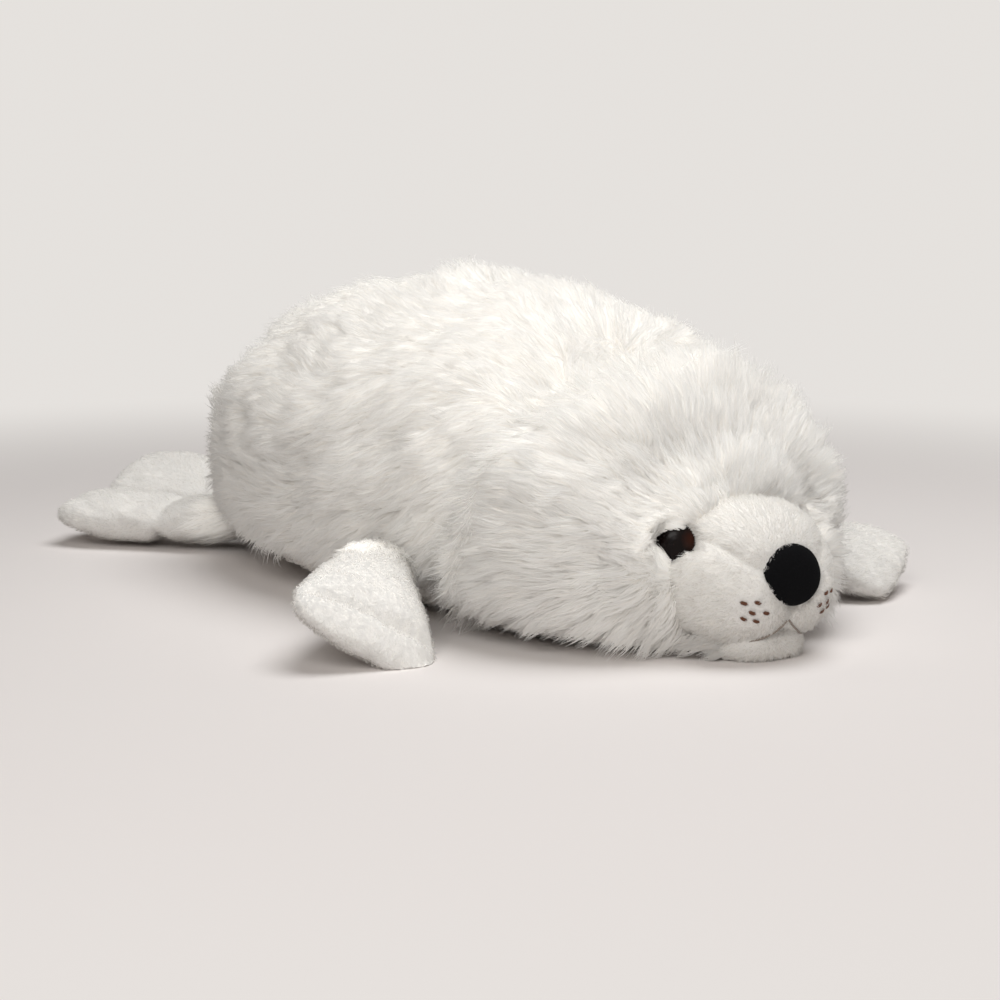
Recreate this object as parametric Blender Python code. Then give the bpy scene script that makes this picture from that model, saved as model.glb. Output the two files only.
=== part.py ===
"""Plush seal pup lying on its belly, as the separate stuffed and fitted pieces that it is sewn from.

Metres, +Z up. The seal faces -Y, its left is +X, its belly lies on Z = 0, and the origin is on the belly
below the middle of the torso. Long-pile forms are solids out to the tips of their fur.
"""

import math

import bmesh
import bpy
from mathutils import Matrix, Vector, noise
from mathutils.bvhtree import BVHTree

# Clearance that sewn and fitted pieces keep from each other
GAP = 0.0003

# Torso: a pear-shaped stuffed body, cut square where the head is sewn on
NECK_Y = -0.117
NECK_LEAN = 0.42
NECK_LEVEL = 0.090
LEAN_REACH = 0.048
TORSO_MID_Y = 0.002
TORSO_REAR_Y = 0.186
TORSO_FRONT_REACH = 0.161
TORSO_HALF_WIDTH = 0.095
TORSO_HEIGHT = 0.150
TORSO_WIDEST_Z = 0.060
TORSO_REAR_Z = 0.056
BELLY_SINK = 0.006

# Head: a wide, short hood of long fur in front of the neck fold
HEAD_FRONT_Y = -0.194
HEAD_MID_Y = -0.110
HEAD_HALF_WIDTH = 0.094
HEAD_HEIGHT = 0.135
HEAD_WIDEST_Z = 0.054
HEAD_FRONT_Z = 0.046

# Hollows in the hood beside the muzzle, where the eyes sit
HOLLOW_X = 0.038
HOLLOW_Z = 0.039
HOLLOW_DEPTH = 0.0120
HOLLOW_HALF_WIDTH = 0.020
HOLLOW_HALF_HEIGHT = 0.032

# Neck fold: how far both forms draw in where they are sewn together
FOLD_DEPTH = 0.009
FOLD_REACH = 0.012
FOLD_SIDE_SHARE = 0.3

# Fur: locks stand proud of the pile by this much and are this long and this wide
LOCK_RELIEF = 0.0032
LOCK_LENGTH = 0.040
LOCK_WIDTH = 0.012
TORSO_COMB = Vector((0.0, 0.92, -0.39)).normalized()
HEAD_COMB = Vector((0.0, 0.80, -0.60)).normalized()

# Muzzle: short-pile snout with a bridge above two cheeks
MUZZLE_FRONT_Y = -0.2105
MUZZLE_BACK_Y = -0.138
MUZZLE_HALF_WIDTH = 0.0375
MUZZLE_TOP_Z = 0.070
MUZZLE_BOTTOM_Z = 0.0035
MUZZLE_SQUARENESS = 0.86
CHEEK_X = 0.0165
CHEEK_Z = 0.0222
CHEEK_SET_BACK = 0.008
CHEEK_BULGE = 0.0045
CHEEK_REACH = 0.017
SEAM_DEPTH = 0.0016
SEAM_REACH = 0.0022
SEAM_LENGTH = 0.045
SEAM_FROM_Z = 0.052
SEAM_TO_Z = 0.0388
SEAM_INNER_X = 0.0093

# Chin: the small panel under the mouth
CHIN_HALF_WIDTH = 0.0205
CHIN_HALF_LENGTH = 0.0215
CHIN_HALF_HEIGHT = 0.0095
CHIN_MID_Y = -0.184
CHIN_MID_Z = 0.0070
CHIN_SQUARENESS = 0.75

# Nose: padded black cloth, flat against the front of the muzzle
NOSE_WIDTH = 0.0280
NOSE_HEIGHT = 0.0252
NOSE_DEPTH = 0.0105
NOSE_Z = 0.0368
NOSE_INSET = 0.0032
NOSE_FULLNESS = 0.3
NOSE_FLATNESS = 0.7
NOSE_TAPER = 0.11
NOSE_TAPER_POWER = 1.5
NOSE_CORNER = 0.05
NOSE_CORNER_REACH = 0.3

# Mouth: embroidered thread between the cheeks and the chin
MOUTH_LINE = ((0.0008, -0.2078, 0.0178), (0.0054, -0.2065, 0.0140), (0.0104, -0.2036, 0.0112),
              (0.0143, -0.2008, 0.0098), (0.0175, -0.1945, 0.0082))
MOUTH_THREAD = 0.0009
MOUTH_STEPS = 4

# Whisker marks: three rows of two on each cheek, each row shifted from the one above
SPOT_LENGTH = 0.0027
SPOT_THICKNESS = 0.0013
SPOT_DEPTH = 0.0007
SPOT_ROW_Z = (0.0273, 0.0229, 0.0187)
SPOT_INNER_X = 0.0187
SPOT_PITCH_X = 0.0068
SPOT_STAGGER_X = -0.0042
SPOT_SLOPE = 0.25

# Eyes: domed safety eyes whose shanks pass through the cloth into lock washers
EYE_DIAMETER = 0.0165
EYE_DOME = 0.0054
EYE_RIM = 0.0006
EYE_BACK_DIAMETER = 0.0149
EYE_X = 0.0345
EYE_Y = -0.1785
EYE_Z = 0.0490
EYE_TURN = math.radians(38)
EYE_TILT = math.radians(6)
SHANK_DIAMETER = 0.0040
SHANK_LENGTH = 0.0130
WASHER_DIAMETER = 0.0130
WASHER_THICKNESS = 0.0016
WASHER_SEAT = 0.0085
SOCKET_FLARE = 0.002
SOCKET_BEND_HEIGHT = 0.0045
SOCKET_MOUTH_HEIGHT = 0.0135

# Front flippers: blunt paddles that reach out and forward to the floor
FRONT_ROOT = {"left": (0.074, -0.060, 0.033), "right": (-0.0815, -0.0371, 0.0281)}
FRONT_MIDDLE = {"left": (0.112, -0.082, 0.027), "right": (-0.1178, -0.0736, 0.0295)}
FRONT_TIP = {"left": (0.147, -0.126, 0.0105), "right": (-0.1483, -0.1206, 0.0081)}
FRONT_BANK = {"left": math.radians(14), "right": math.radians(35)}
FRONT_ROOT_HALF_WIDTH = 0.0125
FRONT_TIP_HALF_WIDTH = 0.040
FRONT_SPREAD = 1.6
FRONT_HALF_THICKNESS = 0.0118
FRONT_CREASE = 0.66

# Hind flippers: flat paddles. The right one lies splayed, the left one points back with its outer edge up.
HIND_ROOT = {"left": (0.021, 0.152, 0.014), "right": (-0.024, 0.150, 0.020)}
HIND_MIDDLE = {"left": (0.0035, 0.2153, 0.0173), "right": (-0.0535, 0.2022, 0.0095)}
HIND_TIP = {"left": (-0.0300, 0.2821, 0.0260), "right": (-0.0825, 0.2443, 0.0180)}
HIND_BANK = {"left": math.radians(-23), "right": math.radians(4)}
HIND_ROOT_HALF_WIDTH = 0.018
HIND_TIP_HALF_WIDTH = 0.0285
HIND_SPREAD = 1.0
HIND_HALF_THICKNESS = 0.0118
HIND_CREASE = 0.45

CREASE_DEPTH = 0.26
CREASE_REACH = 0.055

# How quickly a stuffed form draws in towards its ends: a low value keeps it full, then turns in sharply.
# A pair gives the part behind the middle, then the part in front of it.
TORSO_TOP_ROUNDING = 0.92
TORSO_BELLY_ROUNDING = (0.75, 0.4)
TORSO_SIDE_ROUNDING = (0.94, 0.18)
HEAD_TOP_ROUNDING = 1.6
HEAD_BELLY_ROUNDING = 0.45
HEAD_SIDE_ROUNDING = 0.6
BELLY_SQUARENESS = 2.5
END_SECTION = 0.9985
FLIPPER_END = 0.985
FLIPPER_BLUNT_FROM = 0.55
FLIPPER_EDGE_FULLNESS = 0.75
FLIPPER_FACE_FULLNESS = 0.85
FLIPPER_ROOT_THICKNESS = 0.82
FLIPPER_TIP_SQUARENESS = 4
FLIPPER_TIP_FULLNESS = 2.4

# How finely round forms are divided
FUR_AROUND = 60
TORSO_SECTIONS = 46
HEAD_SECTIONS = 28
MUZZLE_AROUND = 44
FLIPPER_SECTIONS = 24
FLIPPER_AROUND = 24
SMALL_AROUND = 28
EYE_SECTIONS = 8
THREAD_AROUND = 8

SIDES = {"left": 1.0, "right": -1.0}


def material(name, colour, roughness):
    """A Principled material with one colour and one roughness."""
    made = bpy.data.materials.new(name)
    made.use_nodes = True
    shader = made.node_tree.nodes["Principled BSDF"]
    shader.inputs["Base Color"].default_value = (*colour, 1.0)
    shader.inputs["Roughness"].default_value = roughness
    shader.inputs["Metallic"].default_value = 0.0
    return made


def node(name, mesh_data, look):
    """Puts a bmesh in the scene as one named object with its material."""
    mesh_data.normal_update()
    bmesh.ops.recalc_face_normals(mesh_data, faces=mesh_data.faces)
    mesh = bpy.data.meshes.new(name)
    mesh_data.to_mesh(mesh)
    mesh_data.free()
    thing = bpy.data.objects.new(name, mesh)
    bpy.context.scene.collection.objects.link(thing)
    if look:
        mesh.materials.append(look)
    return thing


def loft(rings):
    """Joins closed rings of equal count with quads and fills both ends."""
    shape = bmesh.new()
    loops = [[shape.verts.new(point) for point in ring] for ring in rings]
    for near, far in zip(loops, loops[1:]):
        for i in range(len(near)):
            j = (i + 1) % len(near)
            shape.faces.new((near[i], near[j], far[j], far[i]))
    shape.faces.new(reversed(loops[0]))
    shape.faces.new(loops[-1])
    return shape


def cutter(shape, name, grow=GAP):
    """A guide that cuts room for a neighbour: its own form, grown by the clearance."""
    guide = node(name, shape, None)
    guide.hide_render = True
    guide.display_type = "WIRE"
    swell = guide.modifiers.new("clearance", "DISPLACE")
    swell.strength = grow
    swell.mid_level = 0.0
    return guide


def cut(thing, guide, operation="DIFFERENCE"):
    """Takes a guide's form out of a thing."""
    bite = thing.modifiers.new(guide.name, "BOOLEAN")
    bite.operation = operation
    bite.solver = "EXACT"
    bite.object = guide


def joined(guide, other):
    """Makes one guide out of two."""
    cut(guide, other, "UNION")


def locks(point, along):
    """Height of the fur's locks at a point: noise drawn out along the way the pile is combed."""
    across = point - along * point.dot(along)
    sample = across / LOCK_WIDTH + along * (point.dot(along) / LOCK_LENGTH)
    return LOCK_RELIEF * noise.noise(sample)


def fur_ring(y, half_width, low, widest, high):
    """One cross-section of a stuffed form that lies on the floor: round above, squarer and flat below."""
    ring = []
    for i in range(FUR_AROUND):
        turn = math.tau * i / FUR_AROUND
        c, s = math.cos(turn), math.sin(turn)
        if s >= 0:
            x, z = half_width * c, widest + (high - widest) * s
        else:
            x = half_width * math.copysign(abs(c) ** (2 / BELLY_SQUARENESS), c)
            z = widest + (widest - low) * -abs(s) ** (2 / BELLY_SQUARENESS)
        ring.append(Vector((x, y, z)))
    return ring


def furred(rings, comb):
    """Raises the locks on every ring, outward from its middle, and lays the belly flat on the floor."""
    for ring in rings:
        middle = sum(ring, Vector()) / len(ring)
        for point in ring:
            out = (point - middle).normalized()
            point += out * locks(point, comb)
            point.z = max(point.z, 0.0)
    return rings


def hollowed(rings):
    """Presses an upright hollow into the front of the hood on each side of the muzzle."""
    for ring in rings:
        for point in ring:
            for side in SIDES.values():
                out = Vector((side * math.sin(EYE_TURN), -math.cos(EYE_TURN), 0.0))
                off_x = (point.x - side * HOLLOW_X) / HOLLOW_HALF_WIDTH
                off_z = (point.z - HOLLOW_Z) / HOLLOW_HALF_HEIGHT
                facing = min(max((HEAD_MID_Y - point.y) / (HEAD_MID_Y - EYE_Y), 0.0), 1.0)
                point -= out * HOLLOW_DEPTH * facing * math.exp(-off_x ** 2 - off_z ** 2)
    return rings


def leaned(rings):
    """Leans the cross-sections near the neck fold, so that its top lies further forward."""
    for ring in rings:
        for point in ring:
            near = math.exp(-(((point.y - NECK_Y) / LEAN_REACH) ** 2))
            point.y -= NECK_LEAN * (point.z - NECK_LEVEL) * near
    return rings


def fold(y):
    """How far a form draws in near the neck fold."""
    return FOLD_DEPTH * math.exp(-(((y - NECK_Y) / FOLD_REACH) ** 2))


def torso_rings():
    """Cross-sections from the neck fold to the rear, closer together where the form turns in."""
    rings = []
    start = math.asin((NECK_Y + GAP - TORSO_MID_Y) / TORSO_FRONT_REACH)
    end = math.asin(END_SECTION)
    for i in range(TORSO_SECTIONS):
        turn = start + (end - start) * (i / (TORSO_SECTIONS - 1))
        reach = TORSO_FRONT_REACH if turn < 0 else TORSO_REAR_Y - TORSO_MID_Y
        y = TORSO_MID_Y + reach * math.sin(turn)
        size = math.cos(turn)
        drawn = fold(y)
        middle = TORSO_WIDEST_Z + (TORSO_REAR_Z - TORSO_WIDEST_Z) * max(math.sin(turn), 0.0)
        high = middle + (TORSO_HEIGHT - TORSO_WIDEST_Z) * size ** TORSO_TOP_ROUNDING - drawn
        low = middle - (TORSO_WIDEST_Z + BELLY_SINK) * size ** TORSO_BELLY_ROUNDING[turn < 0]
        half_width = TORSO_HALF_WIDTH * size ** TORSO_SIDE_ROUNDING[turn < 0] - drawn * FOLD_SIDE_SHARE
        rings.append(fur_ring(y, half_width, low, middle, high))
    return rings


def head_rings():
    """Cross-sections from the neck fold to the front of the hood."""
    rings = []
    start = math.asin((NECK_Y - GAP - HEAD_MID_Y) / (HEAD_MID_Y - HEAD_FRONT_Y))
    end = math.asin(-END_SECTION)
    for i in range(HEAD_SECTIONS):
        turn = start + (end - start) * (i / (HEAD_SECTIONS - 1))
        y = HEAD_MID_Y + (HEAD_MID_Y - HEAD_FRONT_Y) * math.sin(turn)
        size = math.cos(turn)
        drawn = fold(y)
        middle = HEAD_WIDEST_Z + (HEAD_FRONT_Z - HEAD_WIDEST_Z) * max(-math.sin(turn), 0.0)
        high = middle + (HEAD_HEIGHT - HEAD_WIDEST_Z) * size ** HEAD_TOP_ROUNDING - drawn
        low = middle - (HEAD_WIDEST_Z + BELLY_SINK) * size ** HEAD_BELLY_ROUNDING
        half_width = HEAD_HALF_WIDTH * size ** HEAD_SIDE_ROUNDING - drawn * FOLD_SIDE_SHARE
        rings.append(fur_ring(y, half_width, low, middle, high))
    return rings


def muzzle_shape():
    """A rounded snout, fuller at the cheeks, with grooves along its seams."""
    shape = bmesh.new()
    bmesh.ops.create_uvsphere(shape, u_segments=MUZZLE_AROUND, v_segments=MUZZLE_AROUND // 2 + 6, radius=1.0)
    half_length = (MUZZLE_BACK_Y - MUZZLE_FRONT_Y) / 2
    half_height = (MUZZLE_TOP_Z - MUZZLE_BOTTOM_Z) / 2
    middle = Vector((0.0, (MUZZLE_BACK_Y + MUZZLE_FRONT_Y) / 2, (MUZZLE_TOP_Z + MUZZLE_BOTTOM_Z) / 2))
    for vert in shape.verts:
        # The sphere's poles go to the muzzle's sides, away from the seams
        unit = Vector((vert.co.z, vert.co.y, vert.co.x))
        full = Vector([math.copysign(abs(v) ** MUZZLE_SQUARENESS, v) for v in unit])
        point = middle + Vector((full.x * MUZZLE_HALF_WIDTH, full.y * half_length, full.z * half_height))
        for side in SIDES.values():
            cheek = Vector((side * CHEEK_X, MUZZLE_FRONT_Y + CHEEK_SET_BACK, CHEEK_Z))
            point += unit * CHEEK_BULGE * math.exp(-((point - cheek).length / CHEEK_REACH) ** 2)
        point -= unit * seam_groove(point)
        vert.co = point
    return shape


def seam_groove(point):
    """Depth of the seams: one down the middle under the nose, and one from each eye to the nose."""
    if point.y > MUZZLE_FRONT_Y + SEAM_LENGTH:
        return 0.0
    x = abs(point.x)
    run = min(max((EYE_X - x) / (EYE_X - NOSE_WIDTH / 2), 0.0), 1.0)
    eye_line = SEAM_FROM_Z + (SEAM_TO_Z - SEAM_FROM_Z) * run
    off_eye_line = abs(point.z - eye_line)
    depth = SEAM_DEPTH * math.exp(-((off_eye_line / SEAM_REACH) ** 2)) if x > SEAM_INNER_X else 0.0
    if point.z < NOSE_Z:
        depth = max(depth, SEAM_DEPTH * math.exp(-((x / SEAM_REACH) ** 2)))
    return depth


def chin_shape():
    """A small cushion, blunt in front and flat on the floor."""
    shape = bmesh.new()
    bmesh.ops.create_uvsphere(shape, u_segments=SMALL_AROUND, v_segments=SMALL_AROUND // 2, radius=1.0)
    for vert in shape.verts:
        full = [math.copysign(abs(v) ** CHIN_SQUARENESS, v) for v in vert.co]
        vert.co = Vector((full[0] * CHIN_HALF_WIDTH, CHIN_MID_Y + full[1] * CHIN_HALF_LENGTH,
                          max(CHIN_MID_Z + full[2] * CHIN_HALF_HEIGHT, 0.0)))
    return shape


def nose_shape():
    """A padded patch, round above and narrower below, with a small corner at each side."""
    shape = bmesh.new()
    bmesh.ops.create_uvsphere(shape, u_segments=SMALL_AROUND, v_segments=SMALL_AROUND // 2, radius=1.0)
    for vert in shape.verts:
        # The sphere's poles go to the nose's front and back, so that its rim is even
        rim = math.hypot(vert.co.x, vert.co.y)
        full = rim ** -NOSE_FULLNESS if rim else 0.0
        x, z = vert.co.x * full, vert.co.y * full
        padded = math.copysign(abs(vert.co.z) ** NOSE_FLATNESS, vert.co.z)
        taper = 1.0 - NOSE_TAPER * max(-z, 0.0) ** NOSE_TAPER_POWER
        corner = 1.0 + NOSE_CORNER * math.exp(-((z / NOSE_CORNER_REACH) ** 2))
        vert.co = Vector((x * NOSE_WIDTH / 2 * taper * corner,
                          MUZZLE_FRONT_Y + NOSE_INSET - padded * NOSE_DEPTH / 2,
                          NOSE_Z + z * NOSE_HEIGHT / 2))
    return shape


def turned(profile, steps=SMALL_AROUND):
    """Turns a profile of (radius, height) points about Z into a closed shape."""
    rings = []
    for radius, height in profile:
        rings.append([Vector((radius * math.cos(math.tau * i / steps), radius * math.sin(math.tau * i / steps), height))
                      for i in range(steps)])
    return loft(rings)


def eye_profile(grow=0.0, flare=0.0):
    """Shank, back and dome of an eye, from the shank's end to the top of the dome."""
    dome = EYE_DOME + grow
    edge = EYE_DIAMETER / 2 + grow
    shank = SHANK_DIAMETER / 2 + grow
    profile = [(shank, -SHANK_LENGTH - grow), (shank, -grow), (EYE_BACK_DIAMETER / 2 + grow, -grow), (edge, EYE_RIM)]
    if flare:
        return profile + [(edge + flare / 2, SOCKET_BEND_HEIGHT), (edge + flare, SOCKET_MOUTH_HEIGHT)]
    for i in range(1, EYE_SECTIONS):
        turn = math.pi / 2 * i / EYE_SECTIONS
        profile.append((edge * math.cos(turn), EYE_RIM + (dome - EYE_RIM) * math.sin(turn)))
    return profile


def eye_place(side):
    """Where an eye sits, with Z outward from the face."""
    out = Vector((side * math.sin(EYE_TURN) * math.cos(EYE_TILT), -math.cos(EYE_TURN) * math.cos(EYE_TILT),
                  math.sin(EYE_TILT)))
    turn = out.to_track_quat("Z", "Y").to_matrix().to_4x4()
    seat = Vector((side * EYE_X, EYE_Y, EYE_Z)) - out * EYE_DOME
    return Matrix.Translation(seat) @ turn


def flipper_shape(side, root, middle, tip, root_half, tip_half, spread, half_thickness, bank, crease, grow=0.0):
    """A stuffed paddle lofted along a bent line, thin at a stitched crease and blunt at its tip."""
    start, bend, end = Vector(root), Vector(middle), Vector(tip)
    rings = []
    for i in range(FLIPPER_SECTIONS):
        u = math.sin(math.pi / 2 * i / (FLIPPER_SECTIONS - 1) * FLIPPER_END)
        centre = (1 - u) ** 2 * start + 2 * u * (1 - u) * bend + u * u * end
        heading = (2 * (1 - u) * (bend - start) + 2 * u * (end - bend)).normalized()
        level = heading.cross(Vector((0.0, 0.0, 1.0))).normalized() * side
        across = Matrix.Rotation(side * bank * u, 3, heading) @ level
        up = across.cross(heading).normalized() * side
        past = max((u - FLIPPER_BLUNT_FROM) / (1 - FLIPPER_BLUNT_FROM), 0.0)
        blunt = (1 - past ** FLIPPER_TIP_SQUARENESS) ** (1 / FLIPPER_TIP_SQUARENESS)
        half = (root_half + (tip_half - root_half) * u ** spread) * blunt + grow
        pinch = 1 - CREASE_DEPTH * math.exp(-(((u - crease) / CREASE_REACH) ** 2))
        swell = FLIPPER_ROOT_THICKNESS + (1 - FLIPPER_ROOT_THICKNESS) * u
        thick = half_thickness * swell * pinch * math.sqrt(1 - past ** FLIPPER_TIP_FULLNESS) + grow
        ring = []
        for j in range(FLIPPER_AROUND):
            turn = math.tau * j / FLIPPER_AROUND
            c, s = math.cos(turn), math.sin(turn)
            wide = math.copysign(abs(c) ** FLIPPER_EDGE_FULLNESS, c)
            high = math.copysign(abs(s) ** FLIPPER_FACE_FULLNESS, s)
            point = centre + across * half * wide + up * thick * high
            point.z = max(point.z, -grow)
            ring.append(point)
        rings.append(ring)
    return loft(rings)


def front_flipper(name, grow=0.0):
    return flipper_shape(SIDES[name], FRONT_ROOT[name], FRONT_MIDDLE[name], FRONT_TIP[name], FRONT_ROOT_HALF_WIDTH,
                         FRONT_TIP_HALF_WIDTH, FRONT_SPREAD, FRONT_HALF_THICKNESS, FRONT_BANK[name], FRONT_CREASE,
                         grow)


def hind_flipper(name, grow=0.0):
    return flipper_shape(SIDES[name], HIND_ROOT[name], HIND_MIDDLE[name], HIND_TIP[name], HIND_ROOT_HALF_WIDTH,
                         HIND_TIP_HALF_WIDTH, HIND_SPREAD, HIND_HALF_THICKNESS, HIND_BANK[name], HIND_CREASE,
                         grow)


def build():
    for thing in list(bpy.data.objects):
        bpy.data.objects.remove(thing, do_unlink=True)

    fur = material("long_pile_fur", (0.90, 0.89, 0.87), 0.95)
    plush = material("short_pile_plush", (0.90, 0.89, 0.87), 0.90)
    nose_cloth = material("nose_cloth", (0.008, 0.008, 0.009), 0.80)
    eye_plastic = material("eye_plastic", (0.010, 0.007, 0.006), 0.12)
    washer_plastic = material("washer_plastic", (0.80, 0.79, 0.76), 0.45)
    brown_thread = material("brown_thread", (0.155, 0.045, 0.015), 0.75)
    mouth_thread = material("mouth_thread", (0.42, 0.36, 0.31), 0.80)

    torso = node("torso", loft(leaned(furred(torso_rings(), TORSO_COMB))), fur)
    head = node("head", loft(hollowed(leaned(furred(head_rings(), HEAD_COMB)))), fur)
    muzzle = node("muzzle", muzzle_shape(), plush)
    chin = node("chin", chin_shape(), plush)
    nose = node("nose", nose_shape(), nose_cloth)

    muzzle_room = cutter(muzzle_shape(), "muzzle_room")
    face_room = cutter(muzzle_shape(), "face_room")
    joined(face_room, cutter(chin_shape(), "chin_room"))
    cut(head, face_room)
    cut(chin, muzzle_room)
    cut(nose, muzzle_room)

    for name, side in SIDES.items():
        place = eye_place(side)
        eye = node("eye_" + name, turned(eye_profile()), eye_plastic)
        eye.matrix_world = place
        washer_low = -WASHER_SEAT - WASHER_THICKNESS
        bore = SHANK_DIAMETER / 2 + GAP
        washer_rings = [(bore, washer_low), (WASHER_DIAMETER / 2, washer_low), (WASHER_DIAMETER / 2, -WASHER_SEAT),
                        (bore, -WASHER_SEAT)]
        washer = node("eye_washer_" + name, ring_shape(washer_rings), washer_plastic)
        washer.matrix_world = place
        eye_room = cutter(turned(eye_profile(GAP, SOCKET_FLARE)), "eye_room_" + name, 0.0)
        eye_room.matrix_world = place
        pocket = [(WASHER_DIAMETER / 2 + GAP, washer_low - GAP), (WASHER_DIAMETER / 2 + GAP, -WASHER_SEAT + GAP)]
        washer_room = cutter(turned(pocket), "washer_room_" + name, 0.0)
        washer_room.matrix_world = place
        for thing in (head, muzzle):
            cut(thing, eye_room)
            cut(thing, washer_room)

        node("front_flipper_" + name, front_flipper(name), plush)
        node("hind_flipper_" + name, hind_flipper(name), plush)
        front_room = cutter(front_flipper(name, GAP), "front_flipper_room_" + name, 0.0)
        cut(torso, front_room)
        cut(head, front_room)
        cut(torso, cutter(hind_flipper(name, GAP), "hind_flipper_room_" + name, 0.0))

    surface = surface_of(muzzle)
    for name, side in SIDES.items():
        for number, place in enumerate(spot_places(surface, side), 1):
            spot = node(f"whisker_spot_{name}_{number}", spot_shape(), brown_thread)
            spot.matrix_world = place
        node("mouth_stitch_" + name, mouth_shape(surface, side), mouth_thread)
        cut(chin, cutter(mouth_shape(surface, side, GAP), "mouth_room_" + name, 0.0))


def ring_shape(profile, steps=SMALL_AROUND):
    """Turns a closed profile with a bore about Z."""
    shape = bmesh.new()
    loops = []
    for radius, height in profile:
        loops.append([shape.verts.new((radius * math.cos(math.tau * i / steps), radius * math.sin(math.tau * i / steps),
                                       height)) for i in range(steps)])
    for near, far in zip(loops, loops[1:] + loops[:1]):
        for i in range(steps):
            j = (i + 1) % steps
            shape.faces.new((near[i], near[j], far[j], far[i]))
    return shape


def surface_of(thing):
    """The finished surface of a thing, to lay other things on."""
    bpy.context.view_layer.update()
    return BVHTree.FromObject(thing, bpy.context.evaluated_depsgraph_get())


def spot_shape():
    """A short flat stitch of thread, with Z out of the cloth and X along it."""
    shape = bmesh.new()
    bmesh.ops.create_uvsphere(shape, u_segments=THREAD_AROUND + 2, v_segments=THREAD_AROUND - 2, radius=0.5)
    for vert in shape.verts:
        vert.co = Vector((vert.co.x * SPOT_LENGTH, vert.co.y * SPOT_THICKNESS, vert.co.z * SPOT_DEPTH))
    return shape


def on_cloth(surface, x, z, lift):
    """The point of the muzzle nearest a place in front of it, lifted off it, and the way out of the cloth there."""
    hit, out, _, _ = surface.find_nearest(Vector((x, MUZZLE_FRONT_Y, z)))
    return hit + out * lift, out


def spot_places(surface, side):
    """Three rows of two marks, the middle row set inward by half a step."""
    places = []
    for row, z in enumerate(SPOT_ROW_Z):
        for column in range(2):
            x = SPOT_INNER_X + SPOT_PITCH_X * column + SPOT_STAGGER_X * (row % 2)
            point, out = on_cloth(surface, side * x, z, SPOT_DEPTH / 2 + GAP)
            along = Vector((side, 0.0, SPOT_SLOPE)).normalized()
            along = (along - out * along.dot(out)).normalized()
            across = out.cross(along)
            turn = Matrix((along, across, out)).transposed().to_4x4()
            places.append(Matrix.Translation(point) @ turn)
    return places


def mouth_shape(surface, side, grow=0.0):
    """A thread laid from the mouth's peak down to its corner and back under the cheek."""
    points = []
    for near, far in zip(MOUTH_LINE, MOUTH_LINE[1:]):
        for i in range(MOUTH_STEPS):
            place = Vector(near).lerp(Vector(far), i / MOUTH_STEPS)
            hit, out, _, _ = surface.find_nearest(Vector((side * place.x, place.y, place.z)))
            points.append((hit + out * (MOUTH_THREAD / 2 + GAP), out))
    count = len(points)
    rings = []
    for i, (point, out) in enumerate(points):
        ahead = points[min(i + 1, count - 1)][0] - points[max(i - 1, 0)][0]
        across = ahead.normalized().cross(out).normalized()
        turns = [math.tau * j / THREAD_AROUND for j in range(THREAD_AROUND)]
        radius = MOUTH_THREAD / 2 + grow
        rings.append([point + (out * math.sin(turn) + across * math.cos(turn)) * radius for turn in turns])
    return loft(rings)


build()
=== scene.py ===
import math

import bmesh
import bpy
import numpy as np
from mathutils import Matrix, Vector
from mathutils.bvhtree import BVHTree


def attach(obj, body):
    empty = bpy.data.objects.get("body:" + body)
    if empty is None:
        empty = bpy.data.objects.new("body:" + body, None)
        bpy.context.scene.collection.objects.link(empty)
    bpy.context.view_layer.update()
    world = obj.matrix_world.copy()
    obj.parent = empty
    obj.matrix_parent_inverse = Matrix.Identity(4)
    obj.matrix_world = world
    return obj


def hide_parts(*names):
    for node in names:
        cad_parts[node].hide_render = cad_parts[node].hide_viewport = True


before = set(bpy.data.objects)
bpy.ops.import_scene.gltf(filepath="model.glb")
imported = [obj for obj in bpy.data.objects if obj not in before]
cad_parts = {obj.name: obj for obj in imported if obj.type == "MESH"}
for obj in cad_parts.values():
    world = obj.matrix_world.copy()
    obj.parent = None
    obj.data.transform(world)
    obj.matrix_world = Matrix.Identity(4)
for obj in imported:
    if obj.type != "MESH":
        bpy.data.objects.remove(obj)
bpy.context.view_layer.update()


# The table and the light.
# The seal lies on a seamless pale sheet of paper, under one wide soft lamp
# overhead and a smaller one before its right side. It is seen a little from above.

CAMERA_AIM = Vector((-0.065, -0.100, 0.060))
CAMERA_TURN = math.radians(-37)
CAMERA_RISE = math.radians(8.5)
CAMERA_DISTANCE = 1.17

back = Vector((math.sin(CAMERA_TURN) * math.cos(CAMERA_RISE), -math.cos(CAMERA_TURN) * math.cos(CAMERA_RISE),
               math.sin(CAMERA_RISE)))
lens = bpy.data.cameras.new("camera")
lens.lens = 100.0
lens.sensor_width = 36.0
camera = bpy.data.objects.new("camera", lens)
camera.location = CAMERA_AIM + back * CAMERA_DISTANCE
camera.rotation_euler = back.to_track_quat("Z", "Y").to_euler()
bpy.context.scene.collection.objects.link(camera)
bpy.context.scene.camera = camera
bpy.context.scene.view_settings.view_transform = "Standard"


def soft_lamp(name, place, aim, size, watts, colour):
    lamp = bpy.data.lights.new(name, "AREA")
    lamp.shape = "DISK"
    lamp.size = size
    lamp.energy = watts
    lamp.color = colour
    holder = bpy.data.objects.new(name, lamp)
    holder.location = place
    holder.rotation_euler = (Vector(place) - Vector(aim)).to_track_quat("Z", "Y").to_euler()
    bpy.context.scene.collection.objects.link(holder)


soft_lamp("lamp_overhead", (0.24, -0.20, 1.45), (0.0, -0.03, 0.05), 1.2, 14.6, (0.99, 0.997, 1.0))
soft_lamp("lamp_side", (-1.05, -0.95, 0.95), (0.0, -0.02, 0.06), 0.9, 9.2, (1.0, 0.985, 0.965))

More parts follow.
